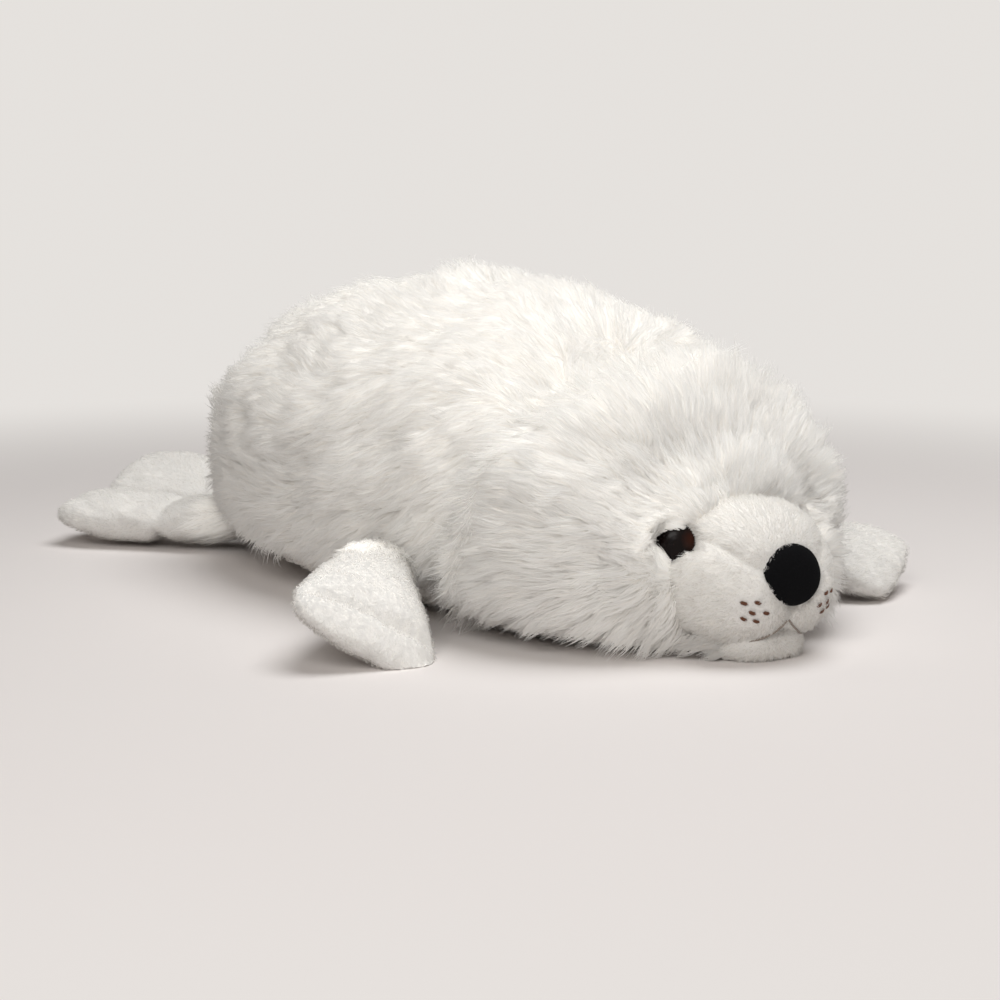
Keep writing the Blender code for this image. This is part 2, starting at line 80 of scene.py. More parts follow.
PAPER_COLOUR = (0.91, 0.865, 0.845)
BACKDROP_COLOUR = (0.785, 0.757, 0.728)
AMBIENT_COLOUR = (1.0, 0.88, 0.76)
AMBIENT = 0.06
PAPER_ENDS = 0.38
WALL_STARTS = 0.85
FLOOR_RADIUS = 9.0


def add_node(tree, kind, settings=(), **values):
    """A node with its settings. The value of a socket is a number, a vector or another socket."""
    made = tree.nodes.new(kind)
    for key, value in dict(settings).items():
        setattr(made, key, value)
    for key, value in values.items():
        numbered = key[0] == "i" and key[1:].isdigit()
        socket = made.inputs[int(key[1:]) if numbered else key.replace("_", " ")]
        if isinstance(value, bpy.types.NodeSocket):
            tree.links.new(value, socket)
        else:
            socket.default_value = value
    return made


world = bpy.data.worlds.new("studio")
bpy.context.scene.world = world
world.use_nodes = True
air = world.node_tree
air.nodes.clear()
ray = add_node(air, "ShaderNodeLightPath")
seen = add_node(air, "ShaderNodeMath", {"operation": "MAXIMUM"}, i0=ray.outputs["Is Camera Ray"],
                i1=ray.outputs["Is Glossy Ray"])
seen = add_node(air, "ShaderNodeMath", {"operation": "MAXIMUM"}, i0=seen.outputs[0],
                i1=ray.outputs["Is Transmission Ray"])
glow = add_node(air, "ShaderNodeBackground", Color=(*AMBIENT_COLOUR, 1.0), Strength=AMBIENT)
wall = add_node(air, "ShaderNodeBackground", Color=(*BACKDROP_COLOUR, 1.0), Strength=1.0)
either = add_node(air, "ShaderNodeMixShader", i0=seen.outputs[0], i1=glow.outputs[0], i2=wall.outputs[0])
add_node(air, "ShaderNodeOutputWorld", Surface=either.outputs[0])

paper = bpy.data.materials.new("paper_sheet")
paper.use_nodes = True
tree = paper.node_tree
tree.nodes.clear()
place = add_node(tree, "ShaderNodeTexCoord")
reach = add_node(tree, "ShaderNodeVectorMath", {"operation": "LENGTH"}, i0=place.outputs["Object"])
fade = add_node(tree, "ShaderNodeMapRange", {"interpolation_type": "SMOOTHSTEP"},
                Value=reach.outputs["Value"], From_Min=PAPER_ENDS, From_Max=WALL_STARTS)
ray = add_node(tree, "ShaderNodeLightPath")
seen = add_node(tree, "ShaderNodeMath", {"operation": "MAXIMUM"}, i0=ray.outputs["Is Camera Ray"],
                i1=ray.outputs["Is Glossy Ray"])
far = add_node(tree, "ShaderNodeMath", {"operation": "MULTIPLY"}, i0=fade.outputs[0], i1=seen.outputs[0])
grain = add_node(tree, "ShaderNodeTexNoise", Vector=place.outputs["Object"], Scale=900.0, Detail=3.0)
fibres = add_node(tree, "ShaderNodeBump", Height=grain.outputs[0], Strength=0.05, Distance=0.0002)
sheet = add_node(tree, "ShaderNodeBsdfDiffuse", Color=(*PAPER_COLOUR, 1.0), Normal=fibres.outputs[0])
wall = add_node(tree, "ShaderNodeEmission", Color=(*BACKDROP_COLOUR, 1.0), Strength=1.0)
either = add_node(tree, "ShaderNodeMixShader", i0=far.outputs[0], i1=sheet.outputs[0], i2=wall.outputs[0])
add_node(tree, "ShaderNodeOutputMaterial", Surface=either.outputs[0])

bpy.ops.mesh.primitive_circle_add(vertices=96, radius=FLOOR_RADIUS, fill_type="NGON", location=(0, 0, 0))
floor = bpy.context.object
floor.name = "floor_paper"
floor.data.materials.append(paper)


# The torso.
# A stuffed bag of white long-pile fabric, closed along the belly and sewn to
# the head at the neck fold. Its pile is about 20 mm long, brushed back and down.

NECK_Y = -0.117
NECK_LEAN = 0.42
NECK_LEVEL = 0.090
LEAN_REACH = 0.048
FOLD_DEPTH = 0.017
FOLD_REACH = 0.020
SEAM_GAP = 0.0003
TORSO_MID_Y = 0.002
TORSO_REAR_Y = 0.186
TORSO_FRONT_REACH = 0.161
TORSO_HALF_WIDTH = 0.095
TORSO_HEIGHT = 0.150
TORSO_WIDEST_Z = 0.060
TORSO_REAR_Z = 0.056
BELLY_SINK = 0.006
BAG_SEGMENTS = 104
TORSO_RINGS = 80
BAG_END = 0.9985

PILE_DEPTH = 0.0078
BELLY_PILE_DEPTH = 0.003
LUMP_SIZE = 0.055
LUMP_HEIGHT = 0.0052
PILE_TIP_COLOUR = (0.940, 0.933, 0.920)
PILE_MIDDLE_COLOUR = (0.91, 0.900, 0.882)
# The root colour is painted shade: the pile darkens towards its roots as if shaded by the strands above it,
# which cast no shadows.
PILE_ROOT_PAINTED_SHADE = (0.82, 0.80, 0.77)
BACKING_COLOUR = (0.90, 0.88, 0.85)
FIBRE_THROUGH = 0.45


def steps(low, high, values):
    """A smooth step from 0 at low to 1 at high."""
    t = np.clip((values - low) / (high - low), 0.0, 1.0)
    return t * t * (3.0 - 2.0 * t)


def unit(vectors):
    return vectors / np.maximum(np.linalg.norm(vectors, axis=-1, keepdims=True), 1e-9)


def lumps(points, size, seed):
    """Soft hills and hollows, the same each time: a sum of waves in fixed directions."""
    dice = np.random.default_rng(seed)
    total = np.zeros(len(points))
    for octave in range(4):
        for _ in range(5):
            wave = unit(dice.normal(size=3)) * math.tau / (size / 1.7 ** octave)
            total += np.sin(points @ wave + dice.uniform(0, math.tau)) / 1.6 ** octave
    return total / 4.5


def fabric_ring(y, half_width, low, widest, high, around):
    """A cross-section of a stuffed bag that lies on a table: round above, squarer and flat below."""
    turn = np.linspace(0.0, math.tau, around, endpoint=False)
    c, s = np.cos(turn), np.sin(turn)
    under = s < 0
    x = half_width * np.where(under, np.sign(c) * np.abs(c) ** 0.8, c)
    z = np.where(under, widest - (widest - low) * np.abs(s) ** 0.8, widest + (high - widest) * s)
    return np.stack([x, np.full(around, y), np.maximum(z, 0.0)], axis=1)


def leaned(points):
    """The sections near the neck fold lean forward at the top."""
    near = np.exp(-(((points[:, 1] - NECK_Y) / LEAN_REACH) ** 2))
    points[:, 1] -= NECK_LEAN * (points[:, 2] - NECK_LEVEL) * near
    return points


def tube(name, rings):
    """A closed mesh through rings of equal count, facing outwards."""
    around = len(rings[0])
    shape = bmesh.new()
    loops = [[shape.verts.new(point) for point in ring] for ring in rings]
    for near, far in zip(loops, loops[1:]):
        for i in range(around):
            j = (i + 1) % around
            shape.faces.new((near[i], near[j], far[j], far[i]))
    for loop in (loops[0], loops[-1]):
        centre = shape.verts.new(sum((vert.co for vert in loop), Vector()) / around)
        for i in range(around):
            shape.faces.new((loop[i], loop[(i + 1) % around], centre))
    shape.normal_update()
    bmesh.ops.recalc_face_normals(shape, faces=shape.faces)
    mesh = bpy.data.meshes.new(name)
    shape.to_mesh(mesh)
    shape.free()
    mesh.shade_smooth()
    made = bpy.data.objects.new(name, mesh)
    bpy.context.scene.collection.objects.link(made)
    return made


def points_of(thing):
    points = np.zeros(len(thing.data.vertices) * 3)
    thing.data.vertices.foreach_get("co", points)
    return points.reshape(-1, 3)


def normals_of(thing):
    normals = np.zeros(len(thing.data.vertices) * 3)
    thing.data.vertex_normals.foreach_get("vector", normals)
    return normals.reshape(-1, 3)


def place_points(thing, points):
    thing.data.vertices.foreach_set("co", np.ascontiguousarray(points, dtype=np.float32).ravel())
    thing.data.update()


def keep_values(thing, name, values):
    """Writes a number or a vector for every point of a mesh, for the fur to follow."""
    vector = values.ndim == 2
    flat = np.ascontiguousarray(values, dtype=np.float32).ravel()
    kept = thing.data.attributes.new(name, "FLOAT_VECTOR" if vector else "FLOAT", "POINT")
    kept.data.foreach_set("vector" if vector else "value", flat)


def fabric_under_pile(thing, seed, share=1.0):
    """Sinks a fur form to its backing cloth and gives it the soft lumps of its stuffing."""
    points, out = points_of(thing), normals_of(thing)
    side = steps(-0.9, -0.1, out[:, 2])
    depth = BELLY_PILE_DEPTH + (PILE_DEPTH * share - BELLY_PILE_DEPTH) * side
    depth = depth + LUMP_HEIGHT * 0.5 * side * lumps(points, LUMP_SIZE, seed)
    place_points(thing, points - out * depth[:, None])


rings = []
start = math.asin((NECK_Y + SEAM_GAP - TORSO_MID_Y) / TORSO_FRONT_REACH)
for turn in np.linspace(start, math.asin(BAG_END), TORSO_RINGS):
    front = turn < 0
    y = TORSO_MID_Y + (TORSO_FRONT_REACH if front else TORSO_REAR_Y - TORSO_MID_Y) * math.sin(turn)
    size = math.cos(turn)
    drawn = FOLD_DEPTH * math.exp(-(((y - NECK_Y) / FOLD_REACH) ** 2))
    middle = TORSO_WIDEST_Z + (TORSO_REAR_Z - TORSO_WIDEST_Z) * max(math.sin(turn), 0.0)
    high = middle + (TORSO_HEIGHT - TORSO_WIDEST_Z) * size ** 0.92 - drawn
    low = middle - (TORSO_WIDEST_Z + BELLY_SINK) * size ** (0.4 if front else 0.75)
    half_width = TORSO_HALF_WIDTH * size ** (0.18 if front else 0.94)
    rings.append(leaned(fabric_ring(y, half_width, low, middle, high, BAG_SEGMENTS)))
torso_skin = tube("torso_backing", rings)
fabric_under_pile(torso_skin, 3)


def pile_cloth(name):
    """The knitted backing that the pile grows from."""
    made = bpy.data.materials.new(name)
    made.use_nodes = True
    tree = made.node_tree
    shader = tree.nodes["Principled BSDF"]
    shader.inputs["Roughness"].default_value = 0.95
    place = add_node(tree, "ShaderNodeTexCoord")
    blotch = add_node(tree, "ShaderNodeTexNoise", Vector=place.outputs["Object"], Scale=160.0, Detail=4.0)
    tone = add_node(tree, "ShaderNodeMix", {"data_type": "RGBA"}, i0=blotch.outputs[0])
    tone.inputs[6].default_value = (*[c * 0.88 for c in BACKING_COLOUR], 1.0)
    tone.inputs[7].default_value = (*BACKING_COLOUR, 1.0)
    tree.links.new(tone.outputs[2], shader.inputs["Base Color"])
    knit = add_node(tree, "ShaderNodeBump", Height=blotch.outputs[0], Strength=0.6, Distance=0.001)
    tree.links.new(knit.outputs[0], shader.inputs["Normal"])
    return made


def pile_yarn(name, tip, middle, root):
    """The pile's fibres: greyer at the root, which is painted shade deep in the pile, bright at the tip,
    each lock a little warmer or cooler.
    """
    made = bpy.data.materials.new(name)
    made.use_nodes = True
    tree = made.node_tree
    shader = tree.nodes["Principled BSDF"]
    shader.inputs["Roughness"].default_value = 0.62
    shader.inputs["Specular IOR Level"].default_value = 0.25
    strand = add_node(tree, "ShaderNodeUVMap", {"uv_map": "OFBake"})
    split = add_node(tree, "ShaderNodeSeparateXYZ", Vector=strand.outputs[0])
    along = add_node(tree, "ShaderNodeValToRGB", Fac=split.outputs["Y"])
    ramp = along.color_ramp
    ramp.elements[0].position = 0.0
    ramp.elements[0].color = (*root, 1.0)
    ramp.elements[1].position = 1.0
    ramp.elements[1].color = (*tip, 1.0)
    ramp.elements.new(0.35).color = (*middle, 1.0)
    warmth = add_node(tree, "ShaderNodeValToRGB", Fac=split.outputs["X"])
    warmth.color_ramp.elements[0].color = (0.965, 0.968, 0.965, 1.0)
    warmth.color_ramp.elements[1].color = (1.0, 0.985, 0.965, 1.0)
    warmth.color_ramp.elements.new(0.5).color = (1.0, 1.0, 1.0, 1.0)
    tinted = add_node(tree, "ShaderNodeMix", {"data_type": "RGBA", "blend_type": "MULTIPLY"}, i0=1.0,
                      i6=along.outputs[0], i7=warmth.outputs[0])
    tree.links.new(tinted.outputs[2], shader.inputs["Base Color"])
    through = add_node(tree, "ShaderNodeBsdfTranslucent", Color=tinted.outputs[2])
    lit = add_node(tree, "ShaderNodeMixShader", i0=FIBRE_THROUGH, i1=shader.outputs[0],
                   i2=through.outputs[0])
    tree.links.new(lit.outputs[0], tree.nodes["Material Output"].inputs["Surface"])
    return made


backing = pile_cloth("fur_backing")
# Both yarns are darker towards their roots: painted shade deep in the coat.
undercoat_yarn = pile_yarn("fur_undercoat", PILE_MIDDLE_COLOUR, PILE_MIDDLE_COLOUR, PILE_ROOT_PAINTED_SHADE)
guard_yarn = pile_yarn("fur_guard_hairs", PILE_TIP_COLOUR, PILE_TIP_COLOUR, PILE_MIDDLE_COLOUR)
torso_skin.data.materials.append(backing)


def strand_blank(name, heights):
    """One flat strand, standing on its root with its tip at 1, that the tree below bends and lays."""
    shape = bmesh.new()
    rows = [(shape.verts.new((-1, 0, z)), shape.verts.new((1, 0, z))) for z in heights]
    for (a, b), (c, d) in zip(rows, rows[1:]):
        shape.faces.new((a, b, d, c))
    tip = shape.verts.new((0, 0, 1))
    shape.faces.new((rows[-1][0], rows[-1][1], tip))
    mesh = bpy.data.meshes.new(name)
    shape.to_mesh(mesh)
    shape.free()
    made = bpy.data.objects.new(name, mesh)
    bpy.context.scene.collection.objects.link(made)
    return made


def pile_tree(name):
    """Sets strands on a cloth at random, draws them into locks, and lays them the way they are brushed."""
    tree = bpy.data.node_groups.new(name, "GeometryNodeTree")
    face = tree.interface
    face.new_socket("Cloth", in_out="INPUT", socket_type="NodeSocketGeometry")
    for label, kind in (("Strand", "Object"), ("Yarn", "Material"), ("Seed", "Int"), ("Lock seed", "Int")):
        face.new_socket(label, in_out="INPUT", socket_type="NodeSocket" + kind)
    for label in ("Strands per area", "Locks per area", "Length", "Half width", "Rise", "Droop", "Lock pull",
                  "Lock stray", "Strand stray", "Wave", "Floor"):
        face.new_socket(label, in_out="INPUT", socket_type="NodeSocketFloat")
    face.new_socket("Pile", in_out="OUTPUT", socket_type="NodeSocketGeometry")
    given = tree.nodes.new("NodeGroupInput").outputs

    def reckon(operation, *values):
        made = add_node(tree, "ShaderNodeMath", {"operation": operation},
                        **{f"i{i}": v for i, v in enumerate(values)})
        return made.outputs[0]

    def arrow(operation, *values):
        made = add_node(tree, "ShaderNodeVectorMath", {"operation": operation},
                        **{f"i{i}": v for i, v in enumerate(values)})
        return made.outputs["Value" if operation in ("DOT_PRODUCT", "LENGTH") else "Vector"]

    def scaled(vector, factor):
        made = add_node(tree, "ShaderNodeVectorMath", {"operation": "SCALE"}, i0=vector, Scale=factor)
        return made.outputs["Vector"]

    def chance(low, high, seed, vector=False):
        kind = "FLOAT_VECTOR" if vector else "FLOAT"
        made = add_node(tree, "FunctionNodeRandomValue", {"data_type": kind}, Seed=seed)
        lowest, highest = (0, 1) if vector else (2, 3)
        made.inputs[lowest].default_value = (low,) * 3 if vector else low
        made.inputs[highest].default_value = (high,) * 3 if vector else high
        return made.outputs[0 if vector else 1]

    def known(label, kind="FLOAT"):
        made = add_node(tree, "GeometryNodeInputNamedAttribute", {"data_type": kind}, Name=label)
        return made.outputs["Attribute"]

    def kept(geometry, label, value, kind="FLOAT", domain="POINT"):
        made = add_node(tree, "GeometryNodeStoreNamedAttribute", {"data_type": kind, "domain": domain},
                        Name=label, Geometry=geometry)
        tree.links.new(value, made.inputs["Value"])
        return made.outputs["Geometry"]

    here = tree.nodes.new("GeometryNodeInputPosition").outputs[0]
    density = reckon("MULTIPLY", given["Strands per area"], known("thickness"))
    roots = add_node(tree, "GeometryNodeDistributePointsOnFaces", Mesh=given["Cloth"], Density=density,
                     Seed=given["Seed"])
    locks = add_node(tree, "GeometryNodeDistributePointsOnFaces", Mesh=given["Cloth"],
                     Density=given["Locks per area"], Seed=given["Lock seed"])
    nearest = add_node(tree, "GeometryNodeSampleNearest", Geometry=locks.outputs["Points"])

    def of_lock(value, kind):
        made = add_node(tree, "GeometryNodeSampleIndex", {"data_type": kind},
                        Geometry=locks.outputs["Points"], Index=nearest.outputs[0])
        tree.links.new(value, made.inputs["Value"])
        return made.outputs[0]

    out = roots.outputs["Normal"]
    stray = scaled(of_lock(chance(-1.0, 1.0, 11, True), "FLOAT_VECTOR"), given["Lock stray"])
    own_stray = scaled(chance(-1.0, 1.0, 12, True), given["Strand stray"])
    brushed = arrow("ADD", arrow("ADD", known("brushed", "FLOAT_VECTOR"), stray), own_stray)
    upright = scaled(out, arrow("DOT_PRODUCT", brushed, out))
    flow = arrow("NORMALIZE", arrow("SUBTRACT", brushed, upright))
    draw = arrow("SUBTRACT", of_lock(here, "FLOAT_VECTOR"), here)
    reach = reckon("MULTIPLY", reckon("MULTIPLY", given["Length"], known("reach")),
                   reckon("MULTIPLY", chance(0.72, 1.08, 13), of_lock(chance(0.85, 1.12, 14), "FLOAT")))
    across = arrow("CROSS_PRODUCT", flow, out)
    roll = chance(-0.75, 0.75, 15)
    across = arrow("NORMALIZE", arrow("ADD", across, scaled(out, roll)))

    points = roots.outputs["Points"]
    for label, value, kind in (("strand_root", here, "FLOAT_VECTOR"), ("strand_out", out, "FLOAT_VECTOR"),
                               ("strand_flow", flow, "FLOAT_VECTOR"), ("strand_draw", draw, "FLOAT_VECTOR"),
                               ("strand_across", across, "FLOAT_VECTOR"), ("strand_reach", reach, "FLOAT"),
                               ("strand_shade", chance(0.0, 1.0, 16), "FLOAT"),
                               ("strand_rise", reckon("MULTIPLY", given["Rise"], known("rise")), "FLOAT")):
        points = kept(points, label, value, kind)
    blank = add_node(tree, "GeometryNodeObjectInfo", {"transform_space": "ORIGINAL"}, Object=given["Strand"])
    placed = add_node(tree, "GeometryNodeInstanceOnPoints", Points=points,
                      Instance=blank.outputs["Geometry"])
    grown = add_node(tree, "GeometryNodeRealizeInstances", Geometry=placed.outputs[0])

    local = arrow("SUBTRACT", here, known("strand_root", "FLOAT_VECTOR"))
    parts = add_node(tree, "ShaderNodeSeparateXYZ", Vector=local)
    mesh = kept(grown.outputs[0], "strand_v", parts.outputs["Z"])
    mesh = kept(mesh, "strand_side", parts.outputs["X"])
    v, side = known("strand_v"), known("strand_side")
    reach, rise = known("strand_reach"), known("strand_rise")
    height = reckon("MULTIPLY", reckon("MULTIPLY", reach, rise),
                    reckon("MULTIPLY", v, reckon("SUBTRACT", 1.0, reckon("MULTIPLY", given["Droop"], v))))
    laid_share = reckon("SUBTRACT", 1.0, reckon("MULTIPLY", 0.45, rise))
    forward = reckon("MULTIPLY", reckon("MULTIPLY", reach, laid_share), reckon("POWER", v, 1.25))
    raised = scaled(known("strand_out", "FLOAT_VECTOR"), height)
    spine = arrow("ADD", known("strand_root", "FLOAT_VECTOR"), raised)
    spine = arrow("ADD", spine, scaled(known("strand_flow", "FLOAT_VECTOR"), forward))
    pull = reckon("MULTIPLY", given["Lock pull"], reckon("POWER", v, 1.3))
    spine = arrow("ADD", spine, scaled(known("strand_draw", "FLOAT_VECTOR"), pull))
    ripple = add_node(tree, "ShaderNodeTexNoise", Vector=spine, Scale=130.0, Detail=1.0)
    swing = arrow("SUBTRACT", ripple.outputs["Color"], (0.5, 0.5, 0.5))
    spine = arrow("ADD", spine, scaled(swing, reckon("MULTIPLY", given["Wave"], v)))
    taper = reckon("SUBTRACT", 1.0, reckon("POWER", v, 2.0))
    edge = reckon("MULTIPLY", reckon("MULTIPLY", given["Half width"], taper), side)
    spine = arrow("ADD", spine, scaled(known("strand_across", "FLOAT_VECTOR"), edge))
    parts = add_node(tree, "ShaderNodeSeparateXYZ", Vector=spine)
    lifted = reckon("MAXIMUM", parts.outputs["Z"], given["Floor"])
    laid = add_node(tree, "ShaderNodeCombineXYZ", X=parts.outputs["X"], Y=parts.outputs["Y"], Z=lifted)
    moved = add_node(tree, "GeometryNodeSetPosition", Geometry=mesh, Position=laid.outputs[0])
    chart = add_node(tree, "ShaderNodeCombineXYZ", X=known("strand_shade"), Y=v)
    mesh = kept(moved.outputs[0], "OFBake", chart.outputs[0], "FLOAT2", "CORNER")
    smooth = add_node(tree, "GeometryNodeSetShadeSmooth", Geometry=mesh)
    dyed = add_node(tree, "GeometryNodeSetMaterial", Geometry=smooth.outputs[0], Material=given["Yarn"])
    add_node(tree, "NodeGroupOutput", Pile=dyed.outputs[0])
    return tree


STRAND_ROUNDNESS = 0.35
STRAND_LIFT = 0.28
pile = pile_tree("pile_on_cloth")
long_strand = strand_blank("long_strand", (0.0, 0.38, 0.72))
short_strand = strand_blank("short_strand", (0.0, 0.55))


def grow_pile(cloth, name, roundness=STRAND_ROUNDNESS, **sizes):
    """Runs the tree on a cloth and returns the strands as a plain mesh piece."""
    grow = cloth.modifiers.new("pile", "NODES")
    grow.node_group = pile
    ids = {item.name: item.identifier for item in pile.interface.items_tree if item.in_out == "INPUT"}
    for label, value in sizes.items():
        grow[ids[label.replace("_", " ")]] = value
    seen = cloth.evaluated_get(bpy.context.evaluated_depsgraph_get())
    mesh = bpy.data.meshes.new_from_object(seen)
    cloth.modifiers.remove(grow)
    out = np.zeros(len(mesh.vertices) * 3)
    mesh.attributes["strand_out"].data.foreach_get("vector", out)
    own = np.zeros(len(mesh.vertices) * 3)
    mesh.vertex_normals.foreach_get("vector", own)
    facing = unit(out.reshape(-1, 3) * (1.0 - roundness) + own.reshape(-1, 3) * roundness
                  + np.array([0.0, 0.0, STRAND_LIFT]))
    for kept in [a.name for a in mesh.attributes if a.name.startswith("strand_")]:
        mesh.attributes.remove(mesh.attributes[kept])
    mesh.normals_split_custom_set_from_vertices(facing.tolist())
    mesh.name = name
    made = bpy.data.objects.new(name, mesh)
    bpy.context.scene.collection.objects.link(made)
    return made


def brush(thing, direction, thickness, reach, rise):
    """Writes how the pile lies on a cloth: its direction, density, length and how steeply it stands."""
    keep_values(thing, "brushed", unit(direction))
    for label, values in (("reach", reach), ("rise", rise)):
        keep_values(thing, label, values)
    if "thickness" not in thing.data.attributes:
        keep_values(thing, "thickness", thickness)
    else:
        thing.data.attributes["thickness"].data.foreach_set("value", thickness.astype(np.float32))


UNDERCOAT = dict(Strand=short_strand, Yarn=undercoat_yarn, Length=0.0145, Half_width=0.00056, Rise=0.62,
                 Droop=0.42, Lock_pull=0.14, Lock_stray=0.22, Strand_stray=0.20, Wave=0.003, Floor=0.0004)
GUARD_HAIRS = dict(Strand=long_strand, Yarn=guard_yarn, Length=0.0215, Half_width=0.00027, Rise=0.58,
                   Droop=0.42, Lock_pull=0.42, Lock_stray=0.30, Strand_stray=0.14, Wave=0.005, Floor=0.0004)
COAT_LAYERS = (("undercoat", UNDERCOAT), ("guard_hairs", GUARD_HAIRS), ("top_hairs", GUARD_HAIRS))
COAT_LOCK_SEED = 7
TORSO_STRANDS = (410000.0, 255000.0, 180000.0)
TORSO_LOCKS = 24000.0


def coat(cloth, name, thickness, seed, densities, locks):
    """Grows the layers of a coat, each in a left and a right piece. Only its top hairs shade what is under
    them: the rest of the pile is fine enough to let the light through."""
    on_left = steps(-0.02, 0.02, points_of(cloth)[:, 0])
    grown = []
    for side, share in (("left", on_left), ("right", 1.0 - on_left)):
        cloth.data.attributes["thickness"].data.foreach_set("value", (thickness * share).astype(np.float32))
        for (layer, sizes), density in zip(COAT_LAYERS, densities):
            seed += 1
            grown.append(grow_pile(cloth, f"{name}_{layer}_{side}", Seed=seed, Lock_seed=COAT_LOCK_SEED,
                                   Strands_per_area=density, Locks_per_area=locks, **sizes))
            grown[-1].visible_shadow = layer == "top_hairs"
    return grown


def beside_fold(points):
    """How near points lie to the neck fold, where the pile is pressed flat."""
    lean = np.exp(-(((points[:, 1] - NECK_Y) / LEAN_REACH) ** 2))
    off = points[:, 1] + NECK_LEAN * (points[:, 2] - NECK_LEVEL) * lean - NECK_Y
    return np.exp(-((off / 0.013) ** 2)) * steps(0.055, 0.095, points[:, 2])


p, n = points_of(torso_skin), normals_of(torso_skin)
rear = steps(-0.10, 0.06, p[:, 1])
wander = lumps(p, 0.09, 5)
down = -0.72 + 0.85 * rear * steps(0.02, 0.06, p[:, 2])
sideways = 0.10 * np.sign(p[:, 0]) + 0.30 * wander
direction = np.stack([sideways, np.full(len(p), 1.0), down + 0.42 * wander], axis=1)
under = steps(-0.35, -0.8, n[:, 2])
behind_neck = steps(NECK_Y - 0.01, NECK_Y + 0.012, p[:, 1] + NECK_LEAN * (p[:, 2] - NECK_LEVEL))
thickness = (1.0 - 0.85 * under) * (0.70 + 0.30 * behind_neck)
reach = (1.0 + 0.22 * lumps(p, 0.05, 6)) * (1.0 - 0.45 * under) * (1.0 - 0.20 * beside_fold(p))
rise = 1.0 - 0.75 * under
brush(torso_skin, direction, thickness, reach, rise)
torso_furs = coat(torso_skin, "torso", thickness, 20, TORSO_STRANDS, TORSO_LOCKS)
for piece in [torso_skin, *torso_furs]:
    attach(piece, "root")
    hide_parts("torso")


# The head and its hood.
# A second stuffed bag of the same fur. Its pile is longest round the face,
# where it stands out from the snout's seam, and lies back over the neck fold.

HEAD_FRONT_Y = -0.194
HEAD_MID_Y = -0.110
HEAD_HALF_WIDTH = 0.094
HEAD_HEIGHT = 0.135
HEAD_WIDEST_Z = 0.054
HEAD_FRONT_Z = 0.046
HOLLOW_X = 0.038
HOLLOW_Z = 0.039
HOLLOW_DEPTH = 0.012
HOLLOW_HALF_WIDTH = 0.020
HOLLOW_HALF_HEIGHT = 0.032
EYE_DIAMETER = 0.0165
EYE_DOME = 0.0054
EYE_X = 0.0345
EYE_Y = -0.1785
EYE_Z = 0.0490
EYE_TURN = math.radians(38)
EYE_TILT = math.radians(6)
SOCKET_RIM = 0.0006
SOCKET_HEIGHT = 0.010
SOCKET_SLOPE = 0.0029
SOCKET_SLOPE_TO_NOSE = 0.0003
CHEEK_LID_TURN = -52.0
CHEEK_LID_SPREAD = 34.0
CHEEK_LID_COVER = 0.0024
MUZZLE_FRONT_Y = -0.2105
MUZZLE_BACK_Y = -0.138
MUZZLE_HALF_WIDTH = 0.0375
MUZZLE_TOP_Z = 0.070
MUZZLE_BOTTOM_Z = 0.0035
MUZZLE_SQUARENESS = 0.86
MUZZLE_MIDDLE = np.array([0.0, (MUZZLE_BACK_Y + MUZZLE_FRONT_Y) / 2, (MUZZLE_TOP_Z + MUZZLE_BOTTOM_Z) / 2])
MUZZLE_HALF = np.array([MUZZLE_HALF_WIDTH, (MUZZLE_BACK_Y - MUZZLE_FRONT_Y) / 2,
                        (MUZZLE_TOP_Z - MUZZLE_BOTTOM_Z) / 2])
BRIDGE_FROM_Z = 0.038
BRIDGE_SINK = 0.0045
BRIDGE_NARROWING = 0.20
HEAD_RINGS = 64
HEAD_STRANDS = (660000.0, 500000.0, 350000.0)
HEAD_LOCKS = 28000.0
FUR_OFF_SNOUT = 1.03
TUFT = np.array([0.0, -0.142, 0.122])
TUFT_REACH = 0.022
TUFT_GROWTH = 0.40

rings = []
start = math.asin((NECK_Y - SEAM_GAP - HEAD_MID_Y) / (HEAD_MID_Y - HEAD_FRONT_Y))
for turn in np.linspace(start, math.asin(-BAG_END), HEAD_RINGS):
    y = HEAD_MID_Y + (HEAD_MID_Y - HEAD_FRONT_Y) * math.sin(turn)
    size = math.cos(turn)
    drawn = FOLD_DEPTH * math.exp(-(((y - NECK_Y) / FOLD_REACH) ** 2))
    middle = HEAD_WIDEST_Z + (HEAD_FRONT_Z - HEAD_WIDEST_Z) * max(-math.sin(turn), 0.0)
    high = middle + (HEAD_HEIGHT - HEAD_WIDEST_Z) * size ** 1.6 - drawn
    low = middle - (HEAD_WIDEST_Z + BELLY_SINK) * size ** 0.45
    rings.append(leaned(fabric_ring(y, HEAD_HALF_WIDTH * size ** 0.6, low, middle, high, BAG_SEGMENTS)))
head_skin = tube("head_backing", rings)
p = points_of(head_skin)
for side in (1.0, -1.0):
    out = np.array([side * math.sin(EYE_TURN), -math.cos(EYE_TURN), 0.0])
    off = ((p[:, 0] - side * HOLLOW_X) / HOLLOW_HALF_WIDTH) ** 2
    off = off + ((p[:, 2] - HOLLOW_Z) / HOLLOW_HALF_HEIGHT) ** 2
    facing = np.clip((HEAD_MID_Y - p[:, 1]) / (HEAD_MID_Y - EYE_Y), 0.0, 1.0)
    p = p - out * (HOLLOW_DEPTH * facing * np.exp(-off))[:, None]
place_points(head_skin, p)


def eye_heading(side):
    """The way an eye looks: outwards, and a little up."""
    level = math.cos(EYE_TILT)
    return (side * math.sin(EYE_TURN) * level, -math.cos(EYE_TURN) * level, math.sin(EYE_TILT))


